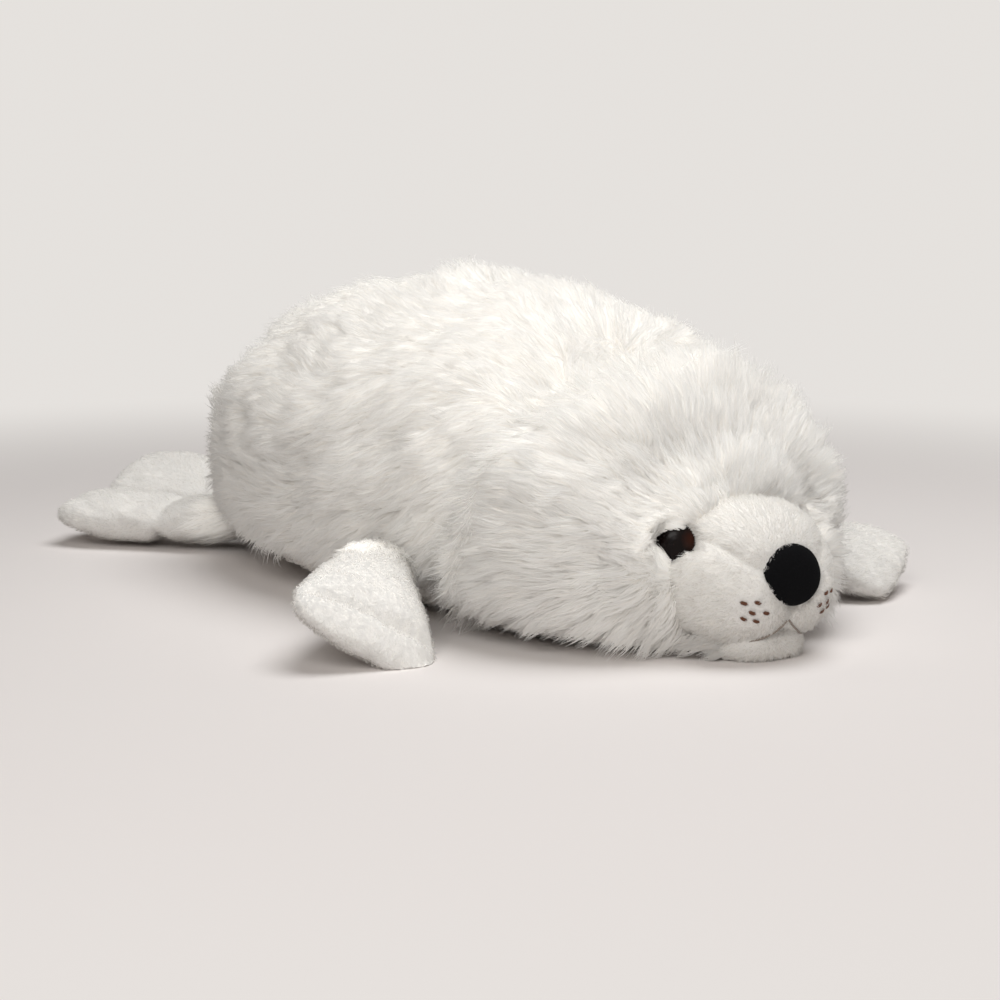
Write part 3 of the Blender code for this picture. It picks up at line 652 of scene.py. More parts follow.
def round_the_eyes(points):
    """Presses cloth down round each eye, so that its dome stands free."""
    for side in (1.0, -1.0):
        out = np.array(eye_heading(side))
        off = points - (np.array([side * EYE_X, EYE_Y, EYE_Z]) - out * EYE_DOME)
        height = off @ out
        wide = np.linalg.norm(off - height[:, None] * out, axis=1)
        inward = off @ np.array([-side * math.cos(EYE_TURN), -math.sin(EYE_TURN), 0.0])
        turn = np.degrees(np.arctan2(off[:, 2], inward))
        lid = np.exp(-(((turn - CHEEK_LID_TURN) / CHEEK_LID_SPREAD) ** 2))
        to_nose = (0.5 + 0.5 * np.cos(np.radians(turn))) ** 2
        slope = SOCKET_SLOPE + SOCKET_SLOPE_TO_NOSE * to_nose - CHEEK_LID_COVER * lid
        past_rim = wide - EYE_DIAMETER / 2 + CHEEK_LID_COVER * lid
        most = SOCKET_RIM + SOCKET_HEIGHT * np.clip(past_rim / slope, 0.0, None) ** 2
        points = points - out * (np.maximum(height - most, 0.0) * (height > -0.02))[:, None]
    return points


def snout_depth(points):
    """How deep points lie in the snout: 1 on its surface, less inside, more outside. And its middle."""
    middle, half = MUZZLE_MIDDLE, MUZZLE_HALF
    raised = points.copy()
    raised[:, 2] += BRIDGE_SINK * bridge(points[:, 2] + BRIDGE_SINK * bridge(points[:, 2]))
    raised[:, 0] /= 1.0 - BRIDGE_NARROWING * bridge(raised[:, 2])
    full = (raised - middle) / half
    return np.linalg.norm(np.abs(full) ** (1 / MUZZLE_SQUARENESS), axis=1), middle


def bridge(height):
    """How far up the snout's bridge a height lies, from 0 where it starts to 1 at its top."""
    return np.clip((height - BRIDGE_FROM_Z) / (MUZZLE_TOP_Z - BRIDGE_FROM_Z), 0.0, 1.0) ** 1.5


depth, middle = snout_depth(p)
fabric_under_pile(head_skin, 9, 1.0 - 0.7 * steps(2.0, 1.3, depth))
place_points(head_skin, round_the_eyes(points_of(head_skin)))
head_skin.data.materials.append(backing)
p, n = points_of(head_skin), normals_of(head_skin)
depth, middle = snout_depth(p)
from_face = p - (middle + np.array([0.0, 0.012, 0.0]))
away = unit(from_face - n * np.sum(from_face * n, axis=1, keepdims=True))
behind = steps(-0.165, -0.115, p[:, 1])
wander = lumps(p, 0.07, 15)
backward = np.stack([0.15 * np.sign(p[:, 0]) + 0.1 * wander, np.ones(len(p)), -0.35 + 0.15 * wander], axis=1)
direction = away * (1.0 - 0.75 * behind)[:, None] + unit(backward) * (0.15 + 0.6 * behind)[:, None]
hem = steps(0.036, 0.012, p[:, 2]) * steps(-0.95, -0.5, n[:, 2])
direction = direction + hem[:, None] * np.array([0.0, 0.0, -1.1])
under = steps(-0.55, -0.95, n[:, 2])
thickness = steps(0.97, 1.01, depth) * (1.0 - 0.85 * under) * (1.0 + 0.5 * beside_fold(p))
round_eye = np.zeros(len(p))
for side in (1.0, -1.0):
    eye = np.array([side * EYE_X, EYE_Y, EYE_Z])
    thickness = thickness * steps(0.0072, 0.0088, np.linalg.norm(p - eye, axis=1))
    near_eye = steps(0.020, 0.009, np.linalg.norm(p - eye, axis=1))
    round_eye = np.maximum(round_eye, near_eye)
    direction[:, 2] -= 0.7 * near_eye * np.tanh((p[:, 2] - EYE_Z) / 0.006)
rim = steps(1.40, 1.03, depth)
brow = rim * steps(0.048, 0.062, p[:, 2])
direction = direction + brow[:, None] * np.array([0.0, -0.20, 0.30])
near_face = steps(-0.14, -0.175, p[:, 1])
reach = (1.05 + 0.12 * lumps(p, 0.05, 16)) * (1.0 - 0.45 * under) * (1.0 - 0.25 * near_face * (1.0 - hem))
tuft = np.exp(-(np.linalg.norm(p - TUFT, axis=1) / TUFT_REACH) ** 2)
reach = reach * (1.0 + 0.15 * beside_fold(p)) * (1.0 + TUFT_GROWTH * tuft)
rise = (1.0 - 0.75 * under) * (1.0 + 0.45 * near_face) * (1.0 - 0.55 * round_eye)
reach = reach * (1.0 - 0.35 * round_eye)
rise = rise * (1.0 + 0.15 * brow) * (1.0 - 0.45 * beside_fold(p))
brush(head_skin, direction, thickness, reach, rise)
head_furs = coat(head_skin, "head", thickness, 40, HEAD_STRANDS, HEAD_LOCKS)
# No strand of the hood goes through the snout
for fur in head_furs:
    p = points_of(fur)
    depth, middle = snout_depth(p)
    inside = depth < FUR_OFF_SNOUT
    full = (p[inside] - middle) / (depth[inside, None] ** MUZZLE_SQUARENESS)
    p[inside] = middle + full * FUR_OFF_SNOUT ** MUZZLE_SQUARENESS
    place_points(fur, p)
for piece in [head_skin, *head_furs]:
    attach(piece, "root")
    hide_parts("head")


# The snout and the chin.
# Short-pile plush, a bridge panel above two cheeks, stuffed firmly and seamed
# from each eye to the nose and down the middle below it. The chin is a small
# cushion of the same cloth.

CHEEK_BULGE = 0.0045
CHEEK_REACH = 0.017
SNOUT_SEAM_DEPTH = 0.0014
SNOUT_SEAM_REACH = 0.0009
PILLOW_DEPTH = 0.0016
PILLOW_REACH = 0.0055
SEAM_X = (0.0147, 0.0208, 0.0256, 0.0289, 0.0345)
SEAM_Z = (0.0400, 0.0435, 0.0475, 0.0512, 0.0520)
CHEEK_X = 0.0165
CHEEK_Z = 0.0222
NOSE_WIDTH = 0.0280
NOSE_Z = 0.0368
CHIN_HALF_WIDTH = 0.0205
CHIN_HALF_LENGTH = 0.0215
CHIN_HALF_HEIGHT = 0.0095
CHIN_MID_Y = -0.184
CHIN_MID_Z = 0.0070
CHIN_SQUARENESS = 0.75
OFF_TABLE = 0.0003
PLUSH_COLOUR = (0.88, 0.868, 0.848)
PLUSH_SHADE_COLOUR = (0.76, 0.74, 0.71)
NAP_COLOUR = (0.80, 0.79, 0.772)
NAP_ROOT_PAINTED_SHADE = (0.68, 0.66, 0.63)
SHOWN_DEPTH = 0.045
FULL_NAP_DEPTH = 0.035


def plush_cloth(name):
    """Short white pile: fine grain, soft mottling where the pile lies different ways, and a sheen."""
    made = bpy.data.materials.new(name)
    made.use_nodes = True
    tree = made.node_tree
    shader = tree.nodes["Principled BSDF"]
    shader.inputs["Roughness"].default_value = 0.9
    shader.inputs["Specular IOR Level"].default_value = 0.2
    shader.inputs["Sheen Weight"].default_value = 0.25
    shader.inputs["Sheen Roughness"].default_value = 0.5
    place = add_node(tree, "ShaderNodeTexCoord")
    nap = add_node(tree, "ShaderNodeTexNoise", Vector=place.outputs["Object"], Scale=260.0, Detail=5.0,
                   Roughness=0.6)
    fine = add_node(tree, "ShaderNodeTexNoise", Vector=place.outputs["Object"], Scale=1500.0, Detail=2.0)
    tone = add_node(tree, "ShaderNodeMix", {"data_type": "RGBA"}, i0=nap.outputs[0])
    tone.inputs[6].default_value = (*PLUSH_SHADE_COLOUR, 1.0)
    tone.inputs[7].default_value = (*PLUSH_COLOUR, 1.0)
    tree.links.new(tone.outputs[2], shader.inputs["Base Color"])
    wide = add_node(tree, "ShaderNodeBump", Height=nap.outputs[0], Strength=0.5, Distance=0.0012)
    tufts = add_node(tree, "ShaderNodeBump", Height=fine.outputs[0], Strength=0.35, Distance=0.0004,
                     Normal=wide.outputs[0])
    tree.links.new(tufts.outputs[0], shader.inputs["Normal"])
    return made


plush = plush_cloth("short_pile")
# The nap's yarn is darker at its roots: painted shade deep in the pile, since the nap casts no shadows.
short_pile = pile_yarn("short_pile_yarn", NAP_COLOUR, NAP_COLOUR, NAP_ROOT_PAINTED_SHADE)


def ball(name, around, high):
    """A unit ball with its poles along X, as one closed mesh."""
    shape = bmesh.new()
    bmesh.ops.create_uvsphere(shape, u_segments=around, v_segments=high, radius=1.0)
    for vert in shape.verts:
        vert.co = Vector((vert.co.z, vert.co.y, vert.co.x))
    shape.normal_update()
    bmesh.ops.recalc_face_normals(shape, faces=shape.faces)
    mesh = bpy.data.meshes.new(name)
    shape.to_mesh(mesh)
    shape.free()
    mesh.shade_smooth()
    made = bpy.data.objects.new(name, mesh)
    bpy.context.scene.collection.objects.link(made)
    return made


def snout_seams(points):
    """Depth of the sewn grooves at each point."""
    x = np.abs(points[:, 0])
    off_line = points[:, 2] - np.interp(x, SEAM_X, SEAM_Z)
    beside_nose = steps(NOSE_WIDTH * 0.3, NOSE_WIDTH * 0.45, x)
    below_nose = steps(NOSE_Z, NOSE_Z - 0.004, points[:, 2])
    depth = 0.0
    for deep, reach in ((SNOUT_SEAM_DEPTH, SNOUT_SEAM_REACH), (PILLOW_DEPTH, PILLOW_REACH)):
        along_line = beside_nose * np.exp(-((off_line / reach) ** 2))
        down_middle = below_nose * np.exp(-((x / reach) ** 2))
        depth = depth + deep * np.maximum(along_line, down_middle)
    return depth * (points[:, 1] < MUZZLE_FRONT_Y + SHOWN_DEPTH)


snout = ball("snout", 112, 84)
direction = points_of(snout)
full = np.sign(direction) * np.abs(direction) ** MUZZLE_SQUARENESS
p = MUZZLE_MIDDLE + full * MUZZLE_HALF
above = bridge(p[:, 2])
p[:, 2] -= BRIDGE_SINK * above
p[:, 0] *= 1.0 - BRIDGE_NARROWING * above
for side in (1.0, -1.0):
    cheek = np.array([side * CHEEK_X, MUZZLE_FRONT_Y + 0.008, CHEEK_Z])
    swell = CHEEK_BULGE * np.exp(-((np.linalg.norm(p - cheek, axis=1) / CHEEK_REACH) ** 2))
    p = p + direction * swell[:, None]
snout_surface = BVHTree.FromPolygons(p.tolist(), [tuple(f.vertices) for f in snout.data.polygons])
p = p - direction * snout_seams(p)[:, None]
place_points(snout, round_the_eyes(p))
snout.data.materials.append(plush)

chin = ball("chin_cushion", 48, 32)
p = points_of(chin)
p = np.sign(p) * np.abs(p) ** CHIN_SQUARENESS
p *= np.array([CHIN_HALF_WIDTH, CHIN_HALF_LENGTH, CHIN_HALF_HEIGHT])
p += np.array([0.0, CHIN_MID_Y, CHIN_MID_Z])
p[:, 2] = np.maximum(p[:, 2], OFF_TABLE)
place_points(chin, p)
chin.data.materials.append(plush)

NAP_ROUNDNESS = 0.55
SHORT_PILE = dict(Strand=short_strand, Yarn=short_pile, Length=0.0052, Half_width=0.00022, Rise=0.52,
                  Droop=0.30, Lock_pull=0.40, Lock_stray=0.40, Strand_stray=0.30, Wave=0.001, Floor=0.0002)
SNOUT_STRANDS = 1100000.0
SNOUT_LOCKS = 110000.0
MARK_CLEARING = 0.0042
MOUTH_CLEARING = 0.0026
sewn = {"mark": [], "mouth": []}
for name, node in sorted(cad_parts.items()):
    if name.startswith("whisker_spot"):
        sewn["mark"].append(np.mean([node.matrix_world @ v.co for v in node.data.vertices], axis=0))
    if name.startswith("mouth_stitch"):
        sewn["mouth"] += [np.array(node.matrix_world @ v.co) for v in node.data.vertices]
plush_furs = []
for thing, seed in ((snout, 41), (chin, 42)):
    p = points_of(thing)
    back = np.tile(np.array([0.0, 0.9, -0.2]), (len(p), 1)) + 0.5 * p * np.array([20.0, 0.0, 0.0])
    shown = steps(MUZZLE_FRONT_Y + SHOWN_DEPTH, MUZZLE_FRONT_Y + FULL_NAP_DEPTH, p[:, 1])
    ones = np.ones(len(p))
    clipped = 0.0
    for kind, clearing in (("mark", MARK_CLEARING), ("mouth", MOUTH_CLEARING)):
        apart = np.min([np.linalg.norm(p - spot, axis=1) for spot in sewn[kind]], axis=0)
        clipped = np.maximum(clipped, np.exp(-((apart / clearing) ** 2)))
    brush(thing, back, shown * (1.0 - 0.7 * clipped ** 2), 1.0 - 0.72 * clipped, ones)
    plush_furs.append(grow_pile(thing, thing.name + "_nap", NAP_ROUNDNESS, Seed=seed, Lock_seed=seed + 50,
                                Strands_per_area=SNOUT_STRANDS, Locks_per_area=SNOUT_LOCKS, **SHORT_PILE))
    plush_furs[-1].visible_shadow = False
snout_nap, chin_nap = plush_furs
for piece, standing_for in ((snout, "muzzle"), (snout_nap, "muzzle"), (chin, "chin"), (chin_nap, "chin")):
    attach(piece, "root")
    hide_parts(standing_for)


# The edge of the hood.
# Its cut edge is turned in at the snout's seam, so long hairs hang over each
# eye and, in pointed locks, over the sides of the chin.

LID_ANGLES = (56.0, 75.0, 95.0, 135.0, 155.0, 180.0, 200.0, 225.0, 258.0)
LID_RADII = (0.0060, 0.0050, 0.0048, 0.0060, 0.0074, 0.0082, 0.0070, 0.0058, 0.0070)
LID_OUTER_RADIUS = 0.0150
LID_REACH = {"left": 0.28, "right": 0.50}
LID_STEPS = 84
LID_ROWS = 8
LID_BRIDGING = 0.8
LID_LIFT = 0.0003
LID_HAIRS = {**GUARD_HAIRS, "Half_width": 0.00017}
LID_STRANDS = 4500000.0
LID_LOCKS = 200000.0
FRINGE_NEAR = Vector((0.0375, -0.160, 0.0125))
FRINGE_MIDDLE = Vector((0.0330, -0.186, 0.0085))
FRINGE_FAR = Vector((0.0130, -0.1965, 0.0065))
FRINGE_WIDTH = 0.0045
FRINGE_HAIRS = {**GUARD_HAIRS, "Half_width": 0.00022, "Lock_pull": 0.85}
FRINGE_STRANDS = 2000000.0
FRINGE_LOCKS = 24000.0
PROBE_HEIGHT = 0.03


def ground_strip(name, rows):
    """An open strip through rows of points, for pile to grow from."""
    shape = bmesh.new()
    loops = [[shape.verts.new(point) for point in row] for row in rows]
    for near, far in zip(loops, loops[1:]):
        for i in range(len(near) - 1):
            shape.faces.new((near[i], near[i + 1], far[i + 1], far[i]))
    mesh = bpy.data.meshes.new(name)
    shape.to_mesh(mesh)
    shape.free()
    made = bpy.data.objects.new(name, mesh)
    bpy.context.scene.collection.objects.link(made)
    return made


def outermost(things):
    """One surface of several things, to find what lies outermost at a place."""
    shape = bmesh.new()
    for thing in things:
        part = bpy.data.meshes.new_from_object(thing)
        part.transform(thing.matrix_world)
        shape.from_mesh(part)
        bpy.data.meshes.remove(part)
    tree = BVHTree.FromBMesh(shape)
    shape.free()
    return tree


hood_fringes = []
for name, side in (("left", 1.0), ("right", -1.0)):
    face = outermost([head_skin, snout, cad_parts["eye_" + name]])
    out = Vector(eye_heading(side))
    inward = Vector((-side * math.cos(EYE_TURN), -math.sin(EYE_TURN), 0.0))
    upward = Vector((0.0, 0.0, 1.0))
    upward = (upward - out * upward.dot(out)).normalized()
    rows, ways = [], []
    for angle in np.linspace(LID_ANGLES[0], LID_ANGLES[-1], LID_STEPS).tolist():
        row = []
        c, s = math.cos(math.radians(angle)), math.sin(math.radians(angle))
        inner_radius = np.interp(angle, LID_ANGLES, LID_RADII)
        for radius in np.linspace(inner_radius, LID_OUTER_RADIUS, LID_ROWS).tolist():
            above = Vector((side * EYE_X, EYE_Y, EYE_Z)) + (inward * c + upward * s) * radius
            above += out * PROBE_HEIGHT
            hit = face.ray_cast(above, -out)[0]
            row.append((hit if hit else above - out * PROBE_HEIGHT) + out * LID_LIFT)
            ways.append(-inward + upward * (0.20 * max(s, 0.0) + 0.45 * max(-s, 0.0)))
        first, last = row[0], row[-1]
        for step, point in enumerate(row):
            bridged = first.lerp(last, step / (LID_ROWS - 1))
            short = (bridged - point).dot(out)
            row[step] = point + out * (LID_BRIDGING * max(short, 0.0))
        rows.append(row if side < 0 else row[::-1])
    if side > 0:
        ways = [way for i in range(0, len(ways), LID_ROWS) for way in ways[i:i + LID_ROWS][::-1]]
    lid = ground_strip("lid_ground_" + name, rows)
    count = len(ways)
    ways = np.array([tuple(way) for way in ways])
    lid_reach = LID_REACH[name] + 0.10 * lumps(points_of(lid), 0.006, 51)
    brush(lid, ways, np.ones(count), lid_reach, np.full(count, 0.60))
    hood_fringes.append(grow_pile(lid, "lid_fur_" + name, Seed=51, Lock_seed=52,
                                  Strands_per_area=LID_STRANDS, Locks_per_area=LID_LOCKS, **LID_HAIRS))
    rows = []
    for share in np.linspace(0.0, 1.0, 40).tolist():
        edge = (1 - share) ** 2 * FRINGE_NEAR + 2 * share * (1 - share) * FRINGE_MIDDLE
        edge += share ** 2 * FRINGE_FAR
        edge = Vector((edge.x * side, edge.y, edge.z))
        rows.append([edge + Vector((0.0, 0.0, FRINGE_WIDTH * (step / 4 - 0.5))) for step in range(5)])
        if side > 0:
            rows[-1].reverse()
    hem_ground = ground_strip("fringe_ground_" + name, rows)
    p = points_of(hem_ground)
    ways = np.tile(np.array([0.85 * side, 0.15, -0.30]), (len(p), 1)) + 0.25 * lumps(p, 0.008, 53)[:, None]
    brush(hem_ground, ways, np.ones(len(p)), 0.75 + 0.15 * lumps(p, 0.006, 54), np.full(len(p), 0.55))
    hood_fringes.append(grow_pile(hem_ground, "chin_fringe_" + name, Seed=55, Lock_seed=56,
                                  Strands_per_area=FRINGE_STRANDS, Locks_per_area=FRINGE_LOCKS,
                                  **FRINGE_HAIRS))
    for ground in (lid, hem_ground):
        bpy.data.objects.remove(ground, do_unlink=True)
for piece in hood_fringes:
    piece.visible_shadow = piece.name.startswith("chin")
    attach(piece, "root")
    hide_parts("head")


# The nose.
# A padded patch of matt black cloth, sewn on above the mouth's seam.

NOSE_HEIGHT = 0.0252
NOSE_PAD = 0.0050
NOSE_SUNK = 0.0012

nose = ball("nose_patch", 72, 48)
direction = points_of(nose)[:, [1, 2, 0]]
rim = np.hypot(direction[:, 0], direction[:, 1])
spread = np.where(rim > 1e-6, np.maximum(rim, 1e-6) ** -0.3, 0.0)
x, z = direction[:, 0] * spread, direction[:, 1] * spread
x, z = np.sign(x) * np.abs(x) ** 0.98, np.sign(z) * np.abs(z) ** 0.98
pad = np.sign(direction[:, 2]) * np.abs(direction[:, 2]) ** 0.5
taper = 1.0 - 0.11 * np.maximum(-z, 0.0) ** 1.5
corner = 1.0 + 0.012 * np.exp(-((z / 0.22) ** 2))
p = np.zeros((len(x), 3))
for i in range(len(x)):
    spot = Vector((x[i] * NOSE_WIDTH / 2 * taper[i] * corner[i], 0.0, NOSE_Z + z[i] * NOSE_HEIGHT / 2))
    hit, out, _, _ = snout_surface.ray_cast(Vector((spot.x, -0.3, spot.z)), Vector((0.0, 1.0, 0.0)))
    p[i] = hit + Vector((0.0, -1.0, 0.0)) * (pad[i] * NOSE_PAD - NOSE_SUNK)
place_points(nose, p)
shape = bmesh.new()
shape.from_mesh(nose.data)
bmesh.ops.recalc_face_normals(shape, faces=shape.faces)
shape.to_mesh(nose.data)
shape.free()
nose_cloth = bpy.data.materials.new("nose_velour")
nose_cloth.use_nodes = True
tree = nose_cloth.node_tree
shader = tree.nodes["Principled BSDF"]
shader.inputs["Roughness"].default_value = 0.95
shader.inputs["Specular IOR Level"].default_value = 0.06
place = add_node(tree, "ShaderNodeTexCoord")
nap = add_node(tree, "ShaderNodeTexNoise", Vector=place.outputs["Object"], Scale=1200.0, Detail=3.0)
tone = add_node(tree, "ShaderNodeMix", {"data_type": "RGBA"}, i0=nap.outputs[0])
tone.inputs[6].default_value = (0.003, 0.003, 0.0035, 1.0)
tone.inputs[7].default_value = (0.008, 0.008, 0.009, 1.0)
tree.links.new(tone.outputs[2], shader.inputs["Base Color"])
weave = add_node(tree, "ShaderNodeBump", Height=nap.outputs[0], Strength=0.4, Distance=0.0003)
tree.links.new(weave.outputs[0], shader.inputs["Normal"])
nose.data.materials.append(nose_cloth)
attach(nose, "root")
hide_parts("nose")


# The eyes.
# Domed safety eyes of dark brown plastic, 16.5 mm across, pushed through the
# cloth at the end of the snout's seam and held by a lock washer inside.

EYE_CORNER_X = 0.0285
EYE_CORNER_Y = -0.1825
EYE_CORNER_Z = 0.0505
CORNER_FROM = 0.0015
CORNER_TO = 0.0055

for name in ("left", "right"):
    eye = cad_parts["eye_" + name]
    gloss = bpy.data.materials.new("eye_gloss_" + name)
    gloss.use_nodes = True
    tree = gloss.node_tree
    shader = tree.nodes["Principled BSDF"]
    shader.inputs["Roughness"].default_value = 0.22
    shader.inputs["Specular IOR Level"].default_value = 0.12
    place = add_node(tree, "ShaderNodeTexCoord")
    cloud = add_node(tree, "ShaderNodeTexNoise", Vector=place.outputs["Object"], Scale=300.0, Detail=2.0)
    tone = add_node(tree, "ShaderNodeMix", {"data_type": "RGBA"}, i0=cloud.outputs[0])
    tone.inputs[6].default_value = (0.003, 0.002, 0.002, 1.0)
    tone.inputs[7].default_value = (0.008, 0.004, 0.003, 1.0)
    corner = (EYE_CORNER_X if name == "left" else -EYE_CORNER_X, EYE_CORNER_Y, EYE_CORNER_Z)
    apart = add_node(tree, "ShaderNodeVectorMath", {"operation": "DISTANCE"}, i0=place.outputs["Object"],
                     i1=corner)
    brown = add_node(tree, "ShaderNodeMapRange", Value=apart.outputs["Value"], From_Min=CORNER_FROM,
                     From_Max=CORNER_TO, To_Min=1.0, To_Max=0.0)
    tinted = add_node(tree, "ShaderNodeMix", {"data_type": "RGBA"}, i0=brown.outputs[0], i6=tone.outputs[2])
    tinted.inputs[7].default_value = (0.040, 0.010, 0.005, 1.0)
    tree.links.new(tinted.outputs[2], shader.inputs["Base Color"])
    eye.data.materials.clear()
    eye.data.materials.append(gloss)


# The mouth and the whisker marks.
# Both are embroidered: the mouth with one grey-brown thread down each side,
# and each mark with a few short stitches of brown thread.

MOUTH_COLOUR = (0.34, 0.29, 0.25)
MARK_COLOUR = (0.150, 0.052, 0.020)
MARK_LENGTH = 0.0039
MARK_THREADS = 4
MARK_PITCH = 0.00036
MARK_THREAD_RADIUS = 0.00022
MARK_CROWN = 0.00045
MARK_DIP = 0.0002
THREAD_SIDES = 8


def thread_material(name, colour):
    """Twisted embroidery thread: one colour with the darker lines of its twist."""
    made = bpy.data.materials.new(name)
    made.use_nodes = True
    tree = made.node_tree
    shader = tree.nodes["Principled BSDF"]
    shader.inputs["Roughness"].default_value = 0.6
    place = add_node(tree, "ShaderNodeTexCoord")
    ply = add_node(tree, "ShaderNodeTexWave", Vector=place.outputs["Object"], Scale=700.0, Distortion=1.0)
    tone = add_node(tree, "ShaderNodeMix", {"data_type": "RGBA"}, i0=ply.outputs["Fac"])
    tone.inputs[6].default_value = (*[c * 0.6 for c in colour], 1.0)
    tone.inputs[7].default_value = (*colour, 1.0)
    tree.links.new(tone.outputs[2], shader.inputs["Base Color"])
    return made


def satin_mark(name, middle, along, across, out):
    """One whisker mark: short threads laid side by side, each dipping into the cloth at both ends."""
    shape = bmesh.new()
    half_count = (MARK_THREADS - 1) / 2
    for number in range(MARK_THREADS):
        off = (number - half_count) / half_count
        length = MARK_LENGTH * (1.0 - 0.28 * off ** 2)
        loops = []
        for step in np.linspace(-1.0, 1.0, 9).tolist():
            centre = middle + along * (length / 2 * step) + across * (MARK_PITCH * off * half_count)
            centre = centre + out * (MARK_CROWN * (1.0 - step ** 2) - MARK_DIP)
            radius = MARK_THREAD_RADIUS * max(1.0 - step ** 4, 0.08)
            loops.append([shape.verts.new(centre + (across * math.cos(turn) + out * math.sin(turn)) * radius)
                          for turn in np.linspace(0.0, math.tau, THREAD_SIDES, endpoint=False)])
        for near, far in zip(loops, loops[1:]):
            for i in range(THREAD_SIDES):
                j = (i + 1) % THREAD_SIDES
                shape.faces.new((near[i], near[j], far[j], far[i]))
        shape.faces.new(loops[0][::-1])
        shape.faces.new(loops[-1])
    shape.normal_update()
    bmesh.ops.recalc_face_normals(shape, faces=shape.faces)
    mesh = bpy.data.meshes.new(name)
    shape.to_mesh(mesh)
    shape.free()
    mesh.shade_smooth()
    made = bpy.data.objects.new(name, mesh)
    bpy.context.scene.collection.objects.link(made)
    return made


mark_thread = thread_material("whisker_thread", MARK_COLOUR)
mouth_thread = thread_material("mouth_thread_twist", MOUTH_COLOUR)
for name in sorted(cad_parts):
    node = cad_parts[name]
    if name.startswith("mouth_stitch"):
        node.data.materials.clear()
        node.data.materials.append(mouth_thread)
    if name.startswith("whisker_spot"):
        p = np.array([node.matrix_world @ v.co for v in node.data.vertices])
        middle = p.mean(axis=0)
        along, across, out = np.linalg.svd(p - middle, full_matrices=False)[2]
        out = out * -np.sign(out[1])
        mark = satin_mark(name.replace("spot", "mark"), Vector(middle), Vector(along), Vector(across),
                          Vector(out))
        mark.data.materials.append(mark_thread)
        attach(mark, "root")
        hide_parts(name)


# The flippers.
# Four stuffed paddles of the same short-pile plush, with a stitched crease
# across each. Their roots are sewn in under the fur, which hangs over them.

FRONT_ROOT = {"left": (0.074, -0.060, 0.033), "right": (-0.0815, -0.0371, 0.0281)}
FRONT_MIDDLE = {"left": (0.112, -0.082, 0.027), "right": (-0.1178, -0.0736, 0.0295)}
FRONT_TIP = {"left": (0.147, -0.126, 0.0105), "right": (-0.1483, -0.1206, 0.0081)}
FRONT_BANK = {"left": 14.0, "right": 35.0}
FRONT_SIZES = (0.0125, 0.040, 1.6, 0.0118)
FRONT_CREASE = {"left": 0.68, "right": 0.83}
HIND_ROOT = {"left": (0.021, 0.152, 0.014), "right": (-0.024, 0.150, 0.020)}
HIND_MIDDLE = {"left": (0.0035, 0.2153, 0.0173), "right": (-0.0535, 0.2022, 0.0095)}
HIND_TIP = {"left": (-0.0300, 0.2821, 0.0260), "right": (-0.0825, 0.2443, 0.0180)}
HIND_BANK = {"left": -23.0, "right": 4.0}
HIND_SIZES = (0.018, 0.0285, 1.0, 0.0118)
HIND_CREASE = {"left": 0.45, "right": 0.45}
CREASE_DEPTH = 0.26
CREASE_REACH = 0.055
STITCH_DEPTH = 0.30
STITCH_REACH = 0.016
PUFF_HEIGHT = 0.0007
COLLAR_FROM = 0.05
COLLAR_TO = 0.22
COLLAR_EDGE = 0.05
COLLAR_STRANDS = 900000.0
COLLAR_LOCKS = 40000.0
FLIPPER_RINGS = 56
FLIPPER_SEGMENTS = 56
FLIPPER_END = 0.985
TIP_FROM = 0.55
TIP_REACH = 0.45
TIP_SQUARENESS = 4
TIP_FULLNESS = 2.4
FLIPPER_NAP = {**SHORT_PILE, "Length": 0.0036, "Lock_pull": 0.25}
FLIPPER_STRANDS = 620000.0
FLIPPER_LOCKS = 90000.0


def flipper(name, side, line, bank, crease, sizes):
    """A stuffed paddle along a bent line, with its crease."""
    root_half, tip_half, spread, half_thickness = sizes
    start, bend, end = (Vector(point) for point in line)
    rings = []
    for i in range(FLIPPER_RINGS):
        u = math.sin(math.pi / 2 * i / (FLIPPER_RINGS - 1) * FLIPPER_END)
        centre = (1 - u) ** 2 * start + 2 * u * (1 - u) * bend + u * u * end
        heading = (2 * (1 - u) * (bend - start) + 2 * u * (end - bend)).normalized()
        level = heading.cross(Vector((0.0, 0.0, 1.0))).normalized() * side
        across = Matrix.Rotation(side * math.radians(bank) * u, 3, heading) @ level
        up = across.cross(heading).normalized() * side
        past = max((u - TIP_FROM) / TIP_REACH, 0.0)
        half = (root_half + (tip_half - root_half) * u ** spread)
        half *= (1 - past ** TIP_SQUARENESS) ** (1 / TIP_SQUARENESS)
        pinch = 1 - CREASE_DEPTH * math.exp(-(((u - crease) / CREASE_REACH) ** 2))
        pinch -= STITCH_DEPTH * math.exp(-(((u - crease) / STITCH_REACH) ** 2))
        thick = half_thickness * (0.82 + 0.18 * u) * pinch * (1 - past ** TIP_FULLNESS) ** 0.5
        ring = []
        for j in range(FLIPPER_SEGMENTS):
            turn = math.tau * j / FLIPPER_SEGMENTS
            c, s = math.cos(turn), math.sin(turn)
            wide, high = math.copysign(abs(c) ** 0.75, c), math.copysign(abs(s) ** 0.85, s)
            point = centre + across * half * wide + up * thick * high
            point.z = max(point.z, OFF_TABLE)
            ring.append(point)
        rings.append(ring)
    return tube(name, rings)


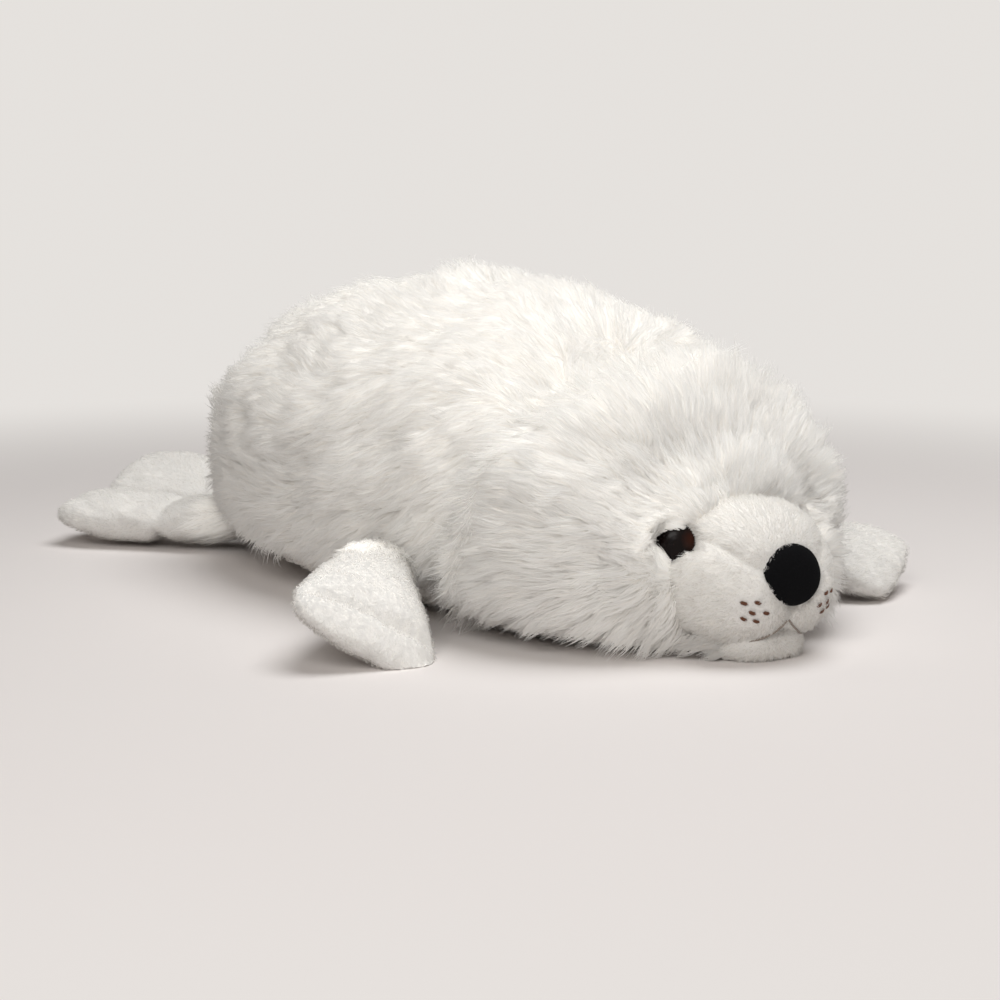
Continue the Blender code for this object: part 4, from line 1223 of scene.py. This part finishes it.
for place, roots, middles, tips, banks, creases, sizes in (
        ("front", FRONT_ROOT, FRONT_MIDDLE, FRONT_TIP, FRONT_BANK, FRONT_CREASE, FRONT_SIZES),
        ("hind", HIND_ROOT, HIND_MIDDLE, HIND_TIP, HIND_BANK, HIND_CREASE, HIND_SIZES)):
    for number, (name, side) in enumerate((("left", 1.0), ("right", -1.0))):
        line = (roots[name], middles[name], tips[name])
        paddle = flipper(f"{place}_flipper_plush_{name}", side, line, banks[name], creases[name], sizes)
        paddle.data.materials.append(plush)
        p = points_of(paddle)
        p += normals_of(paddle) * (PUFF_HEIGHT * lumps(p, 0.016, 26))[:, None]
        p[:, 2] = np.maximum(p[:, 2], OFF_TABLE)
        place_points(paddle, p)
        outward = np.array(tips[name]) - np.array(roots[name])
        away = np.tile(unit(outward), (len(p), 1)) + 0.4 * lumps(p, 0.03, 25)[:, None]
        along = (p - np.array(roots[name])) @ unit(outward) / np.linalg.norm(outward)
        ones = np.ones(len(p))
        brush(paddle, away, steps(0.05, 0.2, along), ones, ones)
        nap = grow_pile(paddle, paddle.name + "_nap", NAP_ROUNDNESS, Seed=60 + number, Lock_seed=70 + number,
                        Strands_per_area=FLIPPER_STRANDS, Locks_per_area=FLIPPER_LOCKS, **FLIPPER_NAP)
        nap.visible_shadow = False
        for piece in (paddle, nap):
            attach(piece, "root")
            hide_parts(f"{place}_flipper_{name}")
        collar = flipper("collar_ground", side, line, banks[name], creases[name], sizes)
        p = points_of(collar)
        along = (p - np.array(roots[name])) @ unit(outward) / np.linalg.norm(outward)
        seamed = steps(COLLAR_FROM, COLLAR_FROM + 0.06, along)
        seamed = seamed * steps(COLLAR_TO + COLLAR_EDGE, COLLAR_TO - COLLAR_EDGE, along)
        away = np.tile(unit(outward), (len(p), 1)) + 0.45 * lumps(p, 0.012, 27)[:, None]
        away = away - np.array([0.0, 0.0, 0.15])
        brush(collar, away, seamed, 0.75 + 0.2 * lumps(p, 0.01, 28), 0.35 * np.ones(len(p)))
        fringe = grow_pile(collar, f"{place}_flipper_collar_{name}", Seed=80 + number, Lock_seed=82 + number,
                           Strands_per_area=COLLAR_STRANDS, Locks_per_area=COLLAR_LOCKS, **GUARD_HAIRS)
        fringe.visible_shadow = False
        bpy.data.objects.remove(collar, do_unlink=True)
        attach(fringe, "root")
        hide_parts("torso")

for blank in (long_strand, short_strand):
    bpy.data.objects.remove(blank, do_unlink=True)
